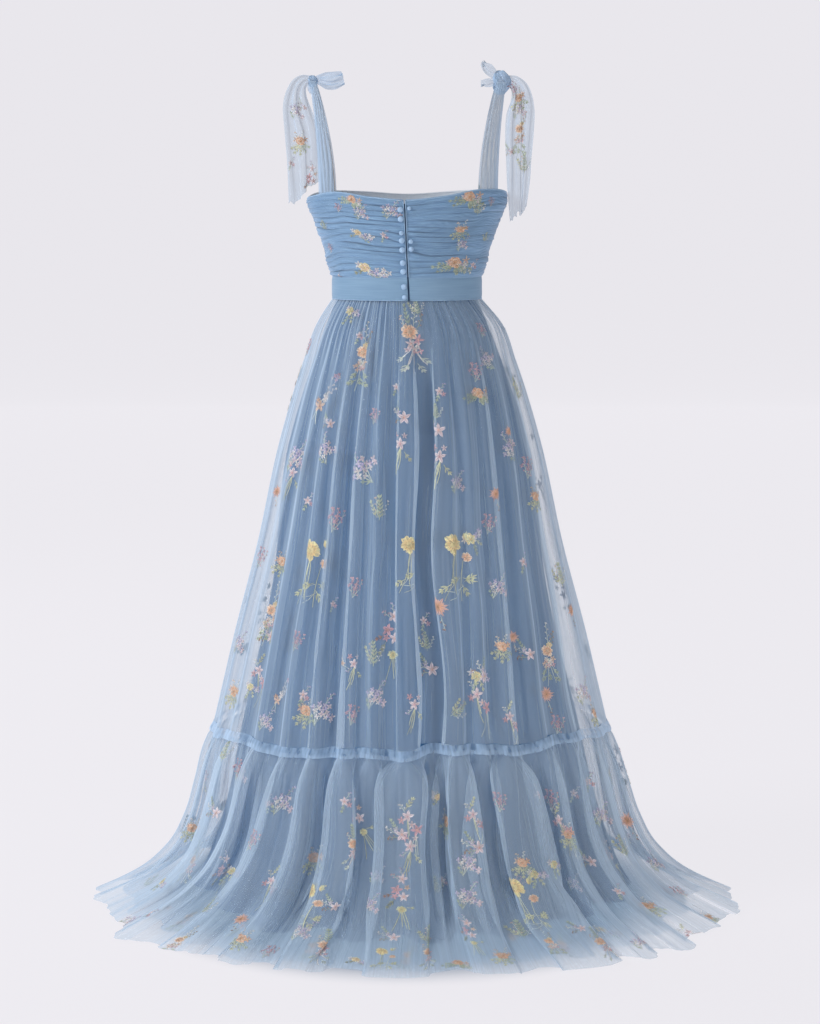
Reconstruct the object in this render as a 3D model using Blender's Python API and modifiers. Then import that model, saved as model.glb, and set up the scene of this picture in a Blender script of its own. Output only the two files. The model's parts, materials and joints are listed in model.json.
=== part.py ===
"""A floor-length gown of embroidered tulle, open and hollow as it is worn, with no wearer in it.

Metres, +Z up. The origin is the centre of the waist, at the lower edge of the waistband. -Y is the
gown's back, with the buttoned opening, and +X is its right-hand side as seen from the back.

Every stretch of cloth is a grid of points on rings, given a wall by Solidify. A ring's place is an
angle round the body: 0 at the centre back, 90 at the right side seam, 180 at the centre front.
"""

from collections import namedtuple
import math

import bpy
import numpy as np

# Heights above the waist seam
FLOOR = -1.060            # the floor that the hem sweeps
BAND_TOP = 0.0390         # upper edge of the waistband
TIER_SEAM = -0.7560       # where the upper tier ends
TIER_BAND_HEIGHT = 0.018  # depth of the seam band between the tiers
MID_BODICE = 0.100        # where a back panel's columns are first laid out

# Cloth
TULLE_WALL = 0.0012       # soft tulle, drawn as thick as a wall may be
SATIN_WALL = 0.0015       # the opaque underskirt
BODICE_WALL = 0.0020      # tulle ruched over its backing
BAND_WALL = 0.0020        # waistband
SEAM_GAP = 0.0003         # between pieces that are sewn together
SLOPE_GAP = 0.0009        # the same where a sloping wall's inner edge hangs lower than its outer one

# Band between the tiers
TIER_BAND_TOP = TIER_SEAM - SLOPE_GAP
TIER_BAND_FOOT = TIER_BAND_TOP - TIER_BAND_HEIGHT
TIER_BAND_INSET = 0.0030  # how far it lies inside the tiers' ridges
RUFFLE_TOP = TIER_BAND_FOOT - SLOPE_GAP

# Waistband ring
WAIST_HALF_WIDTH = 0.1305
WAIST_HALF_DEPTH = 0.0980
WAIST_OVERRUN = 0.010     # how far its ring is described past its two edges

# Ruched bodice
PLEAT_COUNT = 11          # horizontal pleats between the waistband and the neckline
PLEAT_RISE = 0.0024       # how far a pleat stands up
EDGE_RISE = 0.15          # share of that rise left at a panel's sewn edge

# How finely plain pieces are drawn: columns without the narrow ones beside the edges
BACK_PANEL_COLUMNS = 5
FRONT_PANEL_COLUMNS = 11
BACK_BAND_COLUMNS = 8
FRONT_BAND_COLUMNS = 16
TIER_BAND_COLUMNS = 36
BACK_MARGIN = 0.03        # the narrow column's share of a back panel
FRONT_MARGIN = 2.5        # degrees of the narrow column of a front

# Centre-back opening
SLIT_AT_WAIST = 0.0035    # sideways place of the opening at the waist seam
SLIT_LEAN = -0.046        # how it leans with height
SLIT_HALF_WIDTH = 0.0022  # half the gap between the two edges
STAND_HALF_WIDTH = 0.0100
STAND_DEPTH = 0.0012      # how far the strip lies behind the panels' inner face
STAND_WALL = 0.0012
STAND_TOP = 0.166
STAND_FOOT = 0.002
STAND_ROWS = 9
STAND_COLUMNS = 4

# Covered buttons
BUTTON_RADIUS = 0.0050
BUTTON_HALF_THICKNESS = 0.0024
BUTTON_SETBACK = 0.0075   # from the middle of the opening to a button's centre
BUTTON_SEGMENTS = 8
BUTTON_RINGS = 4

# Gathers: at the waist every fold starts as two small ones
GATHER_LENGTH = 0.16      # height over which the small gathers merge into folds
SEAM_MARGIN = 1.3         # degrees left flat beside a side seam

Section = namedtuple("Section", "height half_width back_depth front_depth centre")
UPPER_TIER = (
    Section(0.000, 0.1300, 0.0975, 0.0975, 0.000),
    Section(-0.012, 0.1395, 0.1060, 0.1040, 0.001),
    Section(-0.040, 0.1600, 0.1220, 0.1180, 0.004),
    Section(-0.110, 0.1870, 0.1490, 0.1430, 0.005),
    Section(-0.250, 0.2300, 0.1900, 0.1820, 0.0055),
    Section(-0.430, 0.2700, 0.2230, 0.2140, 0.0055),
    Section(-0.600, 0.3145, 0.2520, 0.2420, 0.006),
    Section(-0.757, 0.3510, 0.2800, 0.2700, 0.006),
)
LOWER_TIER = (
    Section(-0.757, 0.3510, 0.2800, 0.2700, 0.006),
    Section(-0.800, 0.3710, 0.3020, 0.2900, 0.006),
    Section(-0.860, 0.3890, 0.3300, 0.3150, 0.008),
    Section(-0.920, 0.4080, 0.3660, 0.3400, 0.009),
    Section(-0.980, 0.4420, 0.4200, 0.3800, 0.009),
    Section(-1.023, 0.4920, 0.4850, 0.4300, 0.009),
    Section(-1.045, 0.5340, 0.5420, 0.4800, 0.009),
    Section(FLOOR, 0.5680, 0.6000, 0.5250, 0.009),
)
UNDERSKIRT = (
    Section(0.000, 0.1225, 0.0900, 0.0900, 0.000),
    Section(-0.030, 0.1390, 0.1040, 0.1000, 0.000),
    Section(-0.110, 0.1690, 0.1260, 0.1200, 0.001),
    Section(-0.260, 0.2150, 0.1560, 0.1480, 0.003),
    Section(-0.500, 0.2420, 0.1860, 0.1780, 0.004),
    Section(-0.750, 0.2980, 0.2340, 0.2240, 0.006),
    Section(-0.900, 0.3320, 0.2820, 0.2600, 0.008),
    Section(-0.985, 0.3600, 0.3380, 0.2980, 0.009),
    Section(-1.020, 0.3760, 0.3780, 0.3200, 0.009),
    Section(-1.050, 0.3940, 0.4180, 0.3420, 0.009),
)
BODICE = (
    Section(0.0393, 0.1320, 0.0990, 0.0990, 0.000),
    Section(0.0530, 0.1370, 0.0995, 0.1040, 0.000),
    Section(0.0810, 0.1430, 0.1005, 0.1160, 0.000),
    Section(0.1090, 0.1520, 0.1020, 0.1270, 0.000),
    Section(0.1370, 0.1625, 0.1040, 0.1330, 0.000),
    Section(0.1650, 0.1735, 0.1055, 0.1310, 0.000),
    Section(0.1950, 0.1735, 0.1050, 0.1240, 0.000),
)
WAISTBAND = (
    Section(-WAIST_OVERRUN, WAIST_HALF_WIDTH, WAIST_HALF_DEPTH, WAIST_HALF_DEPTH, 0.0),
    Section(BAND_TOP + WAIST_OVERRUN, WAIST_HALF_WIDTH, WAIST_HALF_DEPTH, WAIST_HALF_DEPTH, 0.0),
)

# The neckline's height round the body; the two sides differ a little, as the cloth hangs
NeckPoint = namedtuple("NeckPoint", "angle height")
NECKLINE = (
    NeckPoint(-90, 0.1730), NeckPoint(-66, 0.1790), NeckPoint(-46, 0.1850), NeckPoint(-20, 0.1765),
    NeckPoint(0, 0.1720), NeckPoint(20, 0.1775), NeckPoint(46, 0.1890), NeckPoint(66, 0.1890),
    NeckPoint(90, 0.1840), NeckPoint(125, 0.1880), NeckPoint(155, 0.1790), NeckPoint(180, 0.1740),
    NeckPoint(205, 0.1790), NeckPoint(235, 0.1850), NeckPoint(270, 0.1730),
)

# Folds of a half, from the left side seam to the right one: the angle of each ridge at the top and
# at the foot of its tier, how deep the valley to its right is beside the others, and how far the
# hem reaches past its section there, at the back and, mirrored, at the front.
Fold = namedtuple("Fold", "top foot depth back_reach front_reach", defaults=(0.0, 0.0))
UPPER_FOLDS = (
    Fold(-90.0, -90.0, 0.8), Fold(-75.0, -75.0, 0.9), Fold(-61.0, -61.0, 0.9),
    Fold(-52.0, -47.7, 0.8), Fold(-43.0, -36.5, 1.0), Fold(-33.0, -27.4, 0.9),
    Fold(-23.0, -18.0, 1.1), Fold(-14.0, -10.0, 0.7), Fold(-3.0, -0.9, 1.5),
    Fold(18.0, 13.3, 0.9), Fold(28.4, 21.0, 0.8), Fold(40.0, 29.5, 1.0),
    Fold(52.0, 40.5, 1.0), Fold(64.0, 53.0, 0.9), Fold(76.0, 68.0, 0.8), Fold(90.0, 90.0, 0.8),
)
LOWER_FOLDS = (
    Fold(-90.0, -90.0, 0.7, 0.000, 0.000), Fold(-77.0, -79.0, 1.0, 0.006, -0.066),
    Fold(-61.0, -65.0, 0.9, -0.008, -0.060), Fold(-47.7, -53.0, 1.1, 0.026, -0.050),
    Fold(-32.0, -36.0, 1.0, 0.000, -0.030), Fold(-21.0, -22.5, 0.8, -0.016, -0.020),
    Fold(-11.5, -12.5, 0.8, -0.016, -0.006), Fold(-2.0, -4.0, 1.4, -0.008, 0.000),
    Fold(15.7, 10.0, 0.9, 0.002, 0.006), Fold(26.7, 19.0, 1.1, 0.024, 0.000),
    Fold(38.7, 30.0, 0.9, 0.026, -0.014), Fold(50.0, 42.0, 1.1, 0.036, -0.030),
    Fold(64.0, 56.0, 0.9, 0.024, -0.056), Fold(77.0, 73.0, 0.8, 0.028, -0.082),
    Fold(90.0, 90.0, 0.8, 0.004, 0.004),
)
LINING_FOLDS = (
    Fold(-90.0, -90.0, 1.0), Fold(-54.0, -50.0, 1.0), Fold(-20.0, -22.0, 1.0),
    Fold(14.0, 12.0, 1.0), Fold(50.0, 48.0, 1.0), Fold(90.0, 90.0, 1.0),
)
HEM_REACH_POWER = 4.0     # how late in the fall a fold's reach comes in

# Half the height of a fold's wave, at the back and front and at the sides
Wave = namedtuple("Wave", "height middle side")
UPPER_WAVES = (
    Wave(0.000, 0.0022, 0.0022), Wave(-0.030, 0.0036, 0.0030), Wave(-0.080, 0.0060, 0.0036),
    Wave(-0.160, 0.0085, 0.0036), Wave(-0.300, 0.0105, 0.0046), Wave(-0.520, 0.0125, 0.0100),
    Wave(-0.757, 0.0095, 0.0095),
)
LOWER_WAVES = (
    Wave(-0.757, 0.0040, 0.0040), Wave(-0.800, 0.0100, 0.0090), Wave(-0.860, 0.0160, 0.0140),
    Wave(-0.980, 0.0230, 0.0190), Wave(-1.060, 0.0260, 0.0220),
)
LINING_WAVES = (
    Wave(0.000, 0.0004, 0.0004), Wave(-0.260, 0.0020, 0.0010), Wave(-0.750, 0.0050, 0.0040),
    Wave(-1.050, 0.0090, 0.0070),
)

UPPER_ROWS = (0.000, -0.030, -0.080, -0.160, -0.300, -0.520, TIER_SEAM)
LOWER_ROWS = (RUFFLE_TOP, -0.815, -0.870, -0.930, -0.985, -1.024, -1.046, FLOOR)
LINING_ROWS = (0.000, -0.040, -0.120, -0.260, -0.500, -0.760, -0.900, -0.985, -1.020, -1.050)

# Shoulder ties. A strap leaves the neckline between two angles and rises to its knot.
Knot = namedtuple("Knot", "side centre half_size")
KNOTS = (
    Knot("left", (-0.1640, 0.0, 0.3760), (0.0085, 0.0080, 0.0120)),
    Knot("right", (0.1640, 0.0, 0.3740), (0.0160, 0.0140, 0.0240)),
)
Strap = namedtuple("Strap", "name knot angles top_width rise reach")
STRAPS = (
    Strap("strap_back_left", 0, (-62.0, -46.5), 0.013, 0.110, -0.052),
    Strap("strap_back_right", 1, (47.0, 66.0), 0.020, 0.110, -0.052),
    Strap("strap_front_right", 1, (114.0, 133.0), 0.020, 0.090, 0.060),
    Strap("strap_front_left", 0, (226.5, 242.0), 0.013, 0.090, 0.060),
)
STRAP_WALL = 0.0020
STRAP_PLEATS = 0.0016     # how far a strap's lengthwise gathers stand up
STRAP_ARCH = 0.8          # share of its reach that an arch keeps near the knot
STRAP_LIFT = 0.004        # how far it arches above the knot's centre
STRAP_ROWS = 9
STRAP_COLUMNS = 5

# A knot's roll of cloth: lobes round it, how they twist along it and how much they stand out
KNOT_LOBES = 3
KNOT_TWIST = 4
KNOT_LUMP = 0.08
KNOT_SEGMENTS = 12
KNOT_RINGS = 8

# A tie's free end, station by station: the middle of the strip, its width and its tilt
Station = namedtuple("Station", "x y z width tilt")
LEFT_TAIL = (
    Station(-0.1790, -0.002, 0.3740, 0.018, 60.0), Station(-0.1900, -0.004, 0.3600, 0.032, 40.0),
    Station(-0.1905, -0.008, 0.3300, 0.052, 18.0), Station(-0.1830, -0.012, 0.2900, 0.060, 6.0),
    Station(-0.1800, -0.014, 0.2500, 0.058, 0.0), Station(-0.1780, -0.014, 0.2150, 0.056, 0.0),
    Station(-0.1775, -0.014, 0.1915, 0.054, -2.0),
)
RIGHT_TAIL = (
    Station(0.1860, -0.002, 0.3720, 0.018, -60.0), Station(0.1970, -0.004, 0.3550, 0.034, -38.0),
    Station(0.1970, -0.008, 0.3250, 0.048, -14.0), Station(0.1955, -0.012, 0.2850, 0.050, -4.0),
    Station(0.1945, -0.014, 0.2400, 0.044, 0.0), Station(0.1940, -0.014, 0.2000, 0.034, 0.0),
    Station(0.1935, -0.014, 0.1430, 0.022, 6.0),
)
LEFT_END = (
    Station(-0.1540, -0.001, 0.3790, 0.014, 82.0), Station(-0.1410, -0.002, 0.3760, 0.026, 84.0),
    Station(-0.1260, -0.001, 0.3760, 0.024, 80.0), Station(-0.1090, 0.000, 0.3810, 0.014, 76.0),
)
RIGHT_END = (
    Station(0.1480, -0.001, 0.3860, 0.014, 122.0), Station(0.1420, -0.002, 0.3930, 0.017, 128.0),
    Station(0.1340, -0.002, 0.4010, 0.010, 132.0),
)
TIE_PLEATS = 0.0030       # how far a tie's lengthwise pleats stand up
TIE_FULL_WIDTH = 0.030    # a strip narrower than this has lower pleats
TIE_COLUMNS = 5
LEFT_SLANT = -0.030       # how much higher a tail's outer corner ends than its inner one
RIGHT_SLANT = -0.012

# Buttons: which edge of the opening each is sewn to, its height and how much smaller it is
Button = namedtuple("Button", "name side height scale")
BUTTONS = (
    Button("button_left_1", -1, 0.1560, 1.0), Button("button_left_2", -1, 0.1400, 1.0),
    Button("button_left_3", -1, 0.1160, 0.8), Button("button_left_4", -1, 0.1030, 1.0),
    Button("button_left_5", -1, 0.0870, 1.0), Button("button_left_6", -1, 0.0650, 1.0),
    Button("button_left_7", -1, 0.0500, 1.0), Button("button_left_8", -1, 0.0240, 1.0),
    Button("button_left_9", -1, 0.0060, 0.9), Button("button_right_1", 1, 0.1580, 0.7),
    Button("button_right_2", 1, 0.1015, 0.8), Button("button_right_3", 1, 0.0885, 0.9),
)

# Finishes: linear base colour and roughness
Finish = namedtuple("Finish", "name colour roughness")
TULLE = Finish("soft tulle over the underskirt", (0.235, 0.395, 0.545), 0.85)
RUCHED = Finish("tulle ruched over its backing", (0.145, 0.270, 0.420), 0.80)
BAND = Finish("plain waistband", (0.150, 0.290, 0.440), 0.75)
SATIN = Finish("opaque underskirt", (0.130, 0.235, 0.390), 0.60)
COVERED = Finish("covered button", (0.420, 0.560, 0.700), 0.65)
SHADE = Finish("strip behind the opening", (0.060, 0.110, 0.190), 0.80)


def clear_scene():
    """Remove every object that the file holds."""
    for item in list(bpy.data.objects):
        bpy.data.objects.remove(item, do_unlink=True)


def material(finish):
    """The finish as a Principled material, made once."""
    made = bpy.data.materials.get(finish.name)
    if made is None:
        made = bpy.data.materials.new(finish.name)
        made.use_nodes = True
        shader = made.node_tree.nodes["Principled BSDF"]
        shader.inputs["Base Color"].default_value = (*finish.colour, 1.0)
        shader.inputs["Roughness"].default_value = finish.roughness
        shader.inputs["Metallic"].default_value = 0.0
    return made


def add_object(name, mesh, finish):
    """Put a mesh into the gown's collection under its piece's name."""
    mesh.name = name
    mesh.materials.clear()
    mesh.materials.append(material(finish))
    piece = bpy.data.objects.new(name, mesh)
    gown.objects.link(piece)
    return piece


def cloth(name, points, wall, finish):
    """A wall of cloth on a grid of points, rows downward and columns to the right seen from outside.

    The grid is the outer face, and the wall grows inward from it.
    """
    rows, columns = points.shape[:2]
    corner = (np.arange(rows - 1)[:, None] * columns + np.arange(columns - 1)).ravel()
    faces = np.stack([corner, corner + columns, corner + columns + 1, corner + 1], axis=1)
    mesh = bpy.data.meshes.new(name)
    mesh.from_pydata(points.reshape(-1, 3).tolist(), [], faces.tolist())
    mesh.update()
    mesh.shade_smooth()
    piece = add_object(name, mesh, finish)
    solidify = piece.modifiers.new("wall", "SOLIDIFY")
    solidify.thickness = wall
    solidify.offset = -1.0
    solidify.use_even_offset = True
    return piece


def smooth(at, places, values):
    """A smooth curve through values at rising places, read at any number of places."""
    at = np.asarray(at, float)
    places = np.asarray(places, float)
    values = np.asarray(values, float)
    slopes = np.gradient(values, places)
    span = np.clip(np.searchsorted(places, at, side="right") - 1, 0, len(places) - 2)
    step = places[span + 1] - places[span]
    t = np.clip((at - places[span]) / step, 0.0, 1.0)
    return ((1 + 2 * t) * (1 - t) ** 2 * values[span] + t * (1 - t) ** 2 * step * slopes[span]
            + t * t * (3 - 2 * t) * values[span + 1] + t * t * (t - 1) * step * slopes[span + 1])


def read_table(table, column, heights):
    """One column of a table of heights, read smoothly at the given heights."""
    ordered = sorted(table, key=lambda row: row.height)
    return smooth(heights, [row.height for row in ordered], [getattr(row, column) for row in ordered])


def ring(table, heights, angles, outward=0.0):
    """Points at the given heights and angles round a garment section, moved outward from it."""
    heights, angles, outward = np.broadcast_arrays(heights, np.radians(angles), outward)
    half_width = read_table(table, "half_width", heights)
    at_back = np.cos(angles) > 0
    depth = np.where(at_back, read_table(table, "back_depth", heights),
                     read_table(table, "front_depth", heights))
    normal_x = np.sin(angles) / half_width
    normal_y = -np.cos(angles) / depth
    length = np.hypot(normal_x, normal_y)
    x = read_table(table, "centre", heights) + half_width * np.sin(angles) + outward * normal_x / length
    y = -depth * np.cos(angles) + outward * normal_y / length
    return np.stack([x, y, heights], axis=-1)


def part_at_side_seams(points, is_front):
    """Draw a half back from the two side seams by half the gap."""
    shift = SEAM_GAP / 2 if is_front else -SEAM_GAP / 2
    return points + np.array([0.0, shift, 0.0])


def neck_height(angles):
    """The neckline's height at each angle."""
    return smooth(angles, [p.angle for p in NECKLINE], [p.height for p in NECKLINE])


def fold_columns(folds, is_front):
    """One row for each column of a gathered half: top, foot, wave, gather, depth and reach.

    The wave is 1 on a ridge and -1 in a valley, with ridges broader than valleys. The gather has
    two ridges to each wave.
    """
    def reach(fold):
        return fold.front_reach if is_front else fold.back_reach

    columns = []
    for left, right in zip(folds, folds[1:]):
        for quarter in range(4):
            t = quarter / 4
            wave = 1.0 - 2.0 * math.sin(math.pi * t) ** 3
            columns.append((left.top + t * (right.top - left.top), left.foot + t * (right.foot - left.foot),
                            wave, math.cos(4 * math.pi * t), left.depth,
                            reach(left) + t * (reach(right) - reach(left))))
    first, last = folds[0], folds[-1]
    columns.insert(1, (first.top + SEAM_MARGIN, first.foot + SEAM_MARGIN, 1.0, 1.0, first.depth, reach(first)))
    columns.append((last.top - SEAM_MARGIN, last.foot - SEAM_MARGIN, 1.0, 1.0, last.depth, reach(last)))
    columns.append((last.top, last.foot, 1.0, 1.0, last.depth, reach(last)))
    return np.array(columns).T


def gathered_half(table, rows, folds, waves, is_front):
    """The grid of a gathered half: folds hang from small gathers and lie inside the section's ring.

    The valleys lie inside the ring by twice the wave, so the ridges carry the outline.
    """
    top, foot, wave, gather, depth, reach = fold_columns(folds, is_front)
    heights = np.array(rows)[:, None]
    fall = (heights[0] - heights) / (heights[0] - heights[-1])
    angles = top + (foot - top) * fall
    merged = np.clip((heights[0] - heights) / GATHER_LENGTH, 0.0, 1.0)
    middle = read_table(waves, "middle", heights)
    side = read_table(waves, "side", heights)
    size = side + (middle - side) * np.cos(np.radians(angles)) ** 2
    inward = size * (merged * depth * (1 - wave) + (1 - merged) * (1 - gather))
    inward = inward - reach * fall ** HEM_REACH_POWER
    if is_front:
        angles, inward = 180.0 - angles[:, ::-1], inward[:, ::-1]
    return part_at_side_seams(ring(table, heights, angles, -inward), is_front)


def add_skirts():
    """The upper tier, the lower tier and the underskirt, each as a back and a front."""
    for side, is_front in (("back", False), ("front", True)):
        upper = gathered_half(UPPER_TIER, UPPER_ROWS, UPPER_FOLDS, UPPER_WAVES, is_front)
        upper[0, :, 2] = -SEAM_GAP
        cloth("skirt_" + side, upper, TULLE_WALL, TULLE)
        lower = gathered_half(LOWER_TIER, LOWER_ROWS, LOWER_FOLDS, LOWER_WAVES, is_front)
        lower[-1, :, 2] += TULLE_WALL
        cloth("ruffle_" + side, lower, TULLE_WALL, TULLE)
        lining = gathered_half(UNDERSKIRT, LINING_ROWS, LINING_FOLDS, LINING_WAVES, is_front)
        lining[0, :, 2] = -SEAM_GAP
        cloth("lining_" + side, lining, SATIN_WALL, SATIN)


def half_angles(start, end, count, margin):
    """Angles of a plain piece's columns, with a narrow column beside each end."""
    sign = 1.0 if end > start else -1.0
    inner = np.linspace(start + sign * margin, end - sign * margin, count)
    return np.concatenate([[start], inner, [end]])


def add_tier_bands():
    """The narrow opaque band that the lower tier is gathered into, one half on each side."""
    heights = np.linspace(TIER_BAND_TOP, TIER_BAND_FOOT, 3)[:, None]
    for side, is_front in (("back", False), ("front", True)):
        start = 90.0 if is_front else -90.0
        angles = half_angles(start, start + 180.0, TIER_BAND_COLUMNS, SEAM_MARGIN)
        points = ring(LOWER_TIER, heights, angles, -TIER_BAND_INSET)
        cloth("tier_band_" + side, part_at_side_seams(points, is_front), TULLE_WALL, BAND)


def slit_place(heights):
    """Sideways place of the opening's middle at each height."""
    return SLIT_AT_WAIST + SLIT_LEAN * np.asarray(heights, float)


def slit_angle(table, heights, sideways):
    """The angle whose ring point lies the given distance to the right of the opening's middle."""
    half_width = read_table(table, "half_width", heights)
    return np.degrees(np.arcsin((slit_place(heights) + sideways) / half_width))


def panel_angles(table, heights, side, count):
    """Columns of a back panel, from the opening to its side seam, left to right."""
    edge = slit_angle(table, heights, side * SLIT_HALF_WIDTH)
    place = half_angles(0.0, 1.0, count, BACK_MARGIN)
    angles = edge + (side * 90.0 - edge) * place
    return angles if side > 0 else angles[:, ::-1]


def ruched(heights, angles, edges):
    """A ruched bodice panel: rows of the grid stand up by turns, less so at the sewn edges."""
    rows, columns = heights.shape
    raised = PLEAT_RISE * (np.arange(rows) % 2)[:, None] * np.ones(columns)
    raised[:, edges] *= EDGE_RISE
    return ring(BODICE, heights, angles, raised)


def pleat_heights(angles):
    """Heights of a panel's rows, evenly spaced from the neckline down to the waistband."""
    share = np.linspace(1.0, 0.0, 2 * PLEAT_COUNT + 1)[:, None]
    foot = BAND_TOP + SEAM_GAP
    return foot + (neck_height(angles) - foot) * share


def add_bodice():
    """The two ruched back panels and the ruched front."""
    start = np.full((2 * PLEAT_COUNT + 1, 1), MID_BODICE)
    for side, name in ((-1, "bodice_back_left"), (1, "bodice_back_right")):
        rough = panel_angles(BODICE, start, side, BACK_PANEL_COLUMNS)
        heights = pleat_heights(rough)
        angles = panel_angles(BODICE, heights[:, :1], side, BACK_PANEL_COLUMNS)
        points = ruched(pleat_heights(angles), angles, [0, 1, -2, -1])
        cloth(name, part_at_side_seams(points, False), BODICE_WALL, RUCHED)
    angles = half_angles(90.0, 270.0, FRONT_PANEL_COLUMNS, FRONT_MARGIN) + 0.0 * start
    points = ruched(pleat_heights(angles), angles, [0, 1, -2, -1])
    cloth("bodice_front", part_at_side_seams(points, True), BODICE_WALL, RUCHED)


def add_waistband():
    """The plain waistband, parted at the opening and at the side seams."""
    heights = np.array([BAND_TOP, BAND_TOP / 2, 0.0])[:, None]
    for side, name in ((-1, "waistband_back_left"), (1, "waistband_back_right")):
        points = ring(WAISTBAND, heights, panel_angles(WAISTBAND, heights, side, BACK_BAND_COLUMNS))
        cloth(name, part_at_side_seams(points, False), BAND_WALL, BAND)
    points = ring(WAISTBAND, heights, half_angles(90.0, 270.0, FRONT_BAND_COLUMNS, FRONT_MARGIN))
    cloth("waistband_front", part_at_side_seams(points, True), BAND_WALL, BAND)


def add_button_stand():
    """The strip that lies behind the opening, from the neckline to the waist seam."""
    heights = np.linspace(STAND_TOP, STAND_FOOT, STAND_ROWS)[:, None]
    sideways = np.linspace(-STAND_HALF_WIDTH, STAND_HALF_WIDTH, STAND_COLUMNS)
    table = tuple(row._replace(height=row.height - BAND_TOP) for row in BODICE[:1]) + BODICE
    inward = -(BODICE_WALL + STAND_DEPTH)
    points = ring(table, heights, slit_angle(table, heights, sideways), inward)
    cloth("button_stand", points, STAND_WALL, SHADE)


def ball(segments, rings):
    """A ball of radius 1 as a mesh of its own."""
    bpy.ops.mesh.primitive_uv_sphere_add(segments=segments, ring_count=rings, radius=1.0)
    shape = bpy.context.object
    mesh = shape.data.copy()
    bpy.data.objects.remove(shape, do_unlink=True)
    return mesh


def add_buttons():
    """Small covered domes on both edges of the opening, the right ones fewer."""
    for button in BUTTONS:
        table = WAISTBAND if button.height < BAND_TOP else BODICE
        angle = slit_angle(table, button.height, button.side * BUTTON_SETBACK)
        thickness = BUTTON_HALF_THICKNESS * button.scale
        outward = PLEAT_RISE * (table is BODICE) + thickness + SEAM_GAP
        x, y, z = ring(table, button.height, angle, outward)
        mesh = ball(BUTTON_SEGMENTS, BUTTON_RINGS)
        mesh.shade_smooth()
        piece = add_object(button.name, mesh, COVERED)
        radius = BUTTON_RADIUS * button.scale
        piece.scale = (radius, radius, thickness)
        piece.rotation_euler = (math.radians(90.0), 0.0, math.radians(float(angle)))
        piece.location = (float(x), float(y), float(z))


def add_knots():
    """The two shoulder knots, as lumpy rolls of cloth."""
    for knot in KNOTS:
        mesh = ball(KNOT_SEGMENTS, KNOT_RINGS)
        for vertex in mesh.vertices:
            turn = math.atan2(vertex.co.y, vertex.co.x)
            lobe = math.cos(KNOT_LOBES * turn + KNOT_TWIST * vertex.co.z)
            vertex.co *= 1.0 - KNOT_LUMP + KNOT_LUMP * lobe
        mesh.shade_smooth()
        piece = add_object("knot_" + knot.side, mesh, TULLE)
        piece.scale = knot.half_size
        piece.location = knot.centre


def add_straps():
    """Gathered straps that arch from the neckline over the shoulder to the knots."""
    for strap in STRAPS:
        knot = KNOTS[strap.knot]
        across = np.linspace(0.0, 1.0, STRAP_COLUMNS)
        angles = strap.angles[0] + (strap.angles[1] - strap.angles[0]) * across
        base = ring(BODICE, neck_height(angles) + SEAM_GAP, angles)
        turned = -1.0 if strap.reach > 0 else 1.0
        clear = knot.half_size[1] + SEAM_GAP + STRAP_WALL + STRAP_PLEATS
        top = np.stack([knot.centre[0] + turned * strap.top_width * (across - 0.5),
                        np.full(STRAP_COLUMNS, math.copysign(clear, strap.reach)),
                        np.full(STRAP_COLUMNS, knot.centre[2])], axis=1)
        rise = np.array([0.0, 0.0, strap.rise])
        reach = np.array([0.0, strap.reach * STRAP_ARCH, STRAP_LIFT])
        t = np.linspace(1.0, 0.0, STRAP_ROWS)[:, None, None]
        points = ((1 - t) ** 3 * base + 3 * t * (1 - t) ** 2 * (base + rise)
                  + 3 * t * t * (1 - t) * (top + reach) + t ** 3 * top)
        gather = STRAP_PLEATS * (np.arange(STRAP_COLUMNS) % 2) * np.sin(math.pi / 2 * t[..., 0])
        points[..., 1] += math.copysign(1.0, strap.reach) * gather
        cloth(strap.name, points, STRAP_WALL, TULLE)


def add_tie(name, stations, slant=0.0):
    """A tie's free end: a strip through its stations, with soft lengthwise pleats.

    The strip is as wide as each station says, turned about Y by its tilt. A slant drops the last
    row towards the strip's outer edge.
    """
    place = np.arange(len(stations), dtype=float)
    at = np.linspace(0.0, place[-1], 2 * len(stations) - 1)
    middle = np.stack([smooth(at, place, [getattr(s, axis) for s in stations]) for axis in "xyz"], axis=1)
    width = smooth(at, place, [s.width for s in stations])[:, None]
    tilt = np.radians(smooth(at, place, [s.tilt for s in stations]))[:, None]
    across = np.linspace(-0.5, 0.5, TIE_COLUMNS)
    x = middle[:, :1] + across * width * np.cos(tilt)
    z = middle[:, 2:] - across * width * np.sin(tilt)
    pleat = TIE_PLEATS * (np.arange(TIE_COLUMNS) % 2) * np.minimum(1.0, width / TIE_FULL_WIDTH)
    y = middle[:, 1:2] - pleat
    z[-1] -= slant * across
    cloth(name, np.stack([x, y + 0.0 * x, z], axis=-1), TULLE_WALL, TULLE)


def add_ties():
    """The long tails on the outer side of each knot and the short ends on the inner side."""
    add_tie("tie_tail_left", LEFT_TAIL, slant=LEFT_SLANT)
    add_tie("tie_tail_right", RIGHT_TAIL, slant=RIGHT_SLANT)
    add_tie("tie_end_left", LEFT_END)
    add_tie("tie_end_right", RIGHT_END)


clear_scene()
gown = bpy.data.collections.new("tulle gown")
bpy.context.scene.collection.children.link(gown)
add_bodice()
add_waistband()
add_button_stand()
add_buttons()
add_straps()
add_knots()
add_ties()
add_skirts()
add_tier_bands()
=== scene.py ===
"""The looks of a floor-length gown of embroidered tulle, open and hollow as it is worn.

Metres, +Z up, the model's own frame: the origin is the centre of the waist, -Y is the gown's back,
which the photograph shows, and +X is its right side as seen from the back.

The cloth is drawn as thin surfaces, each a grid of points worked out from two parameters: one runs
round the body and one runs down it. The embroidery is stitched onto the same grids, so it follows
every fold.
"""

from __future__ import annotations

import json
import logging
from collections.abc import Sequence
from dataclasses import dataclass, field
from enum import Enum
from functools import cached_property
from math import atan2, copysign, cos, hypot, pi, radians, sin, sqrt

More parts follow.
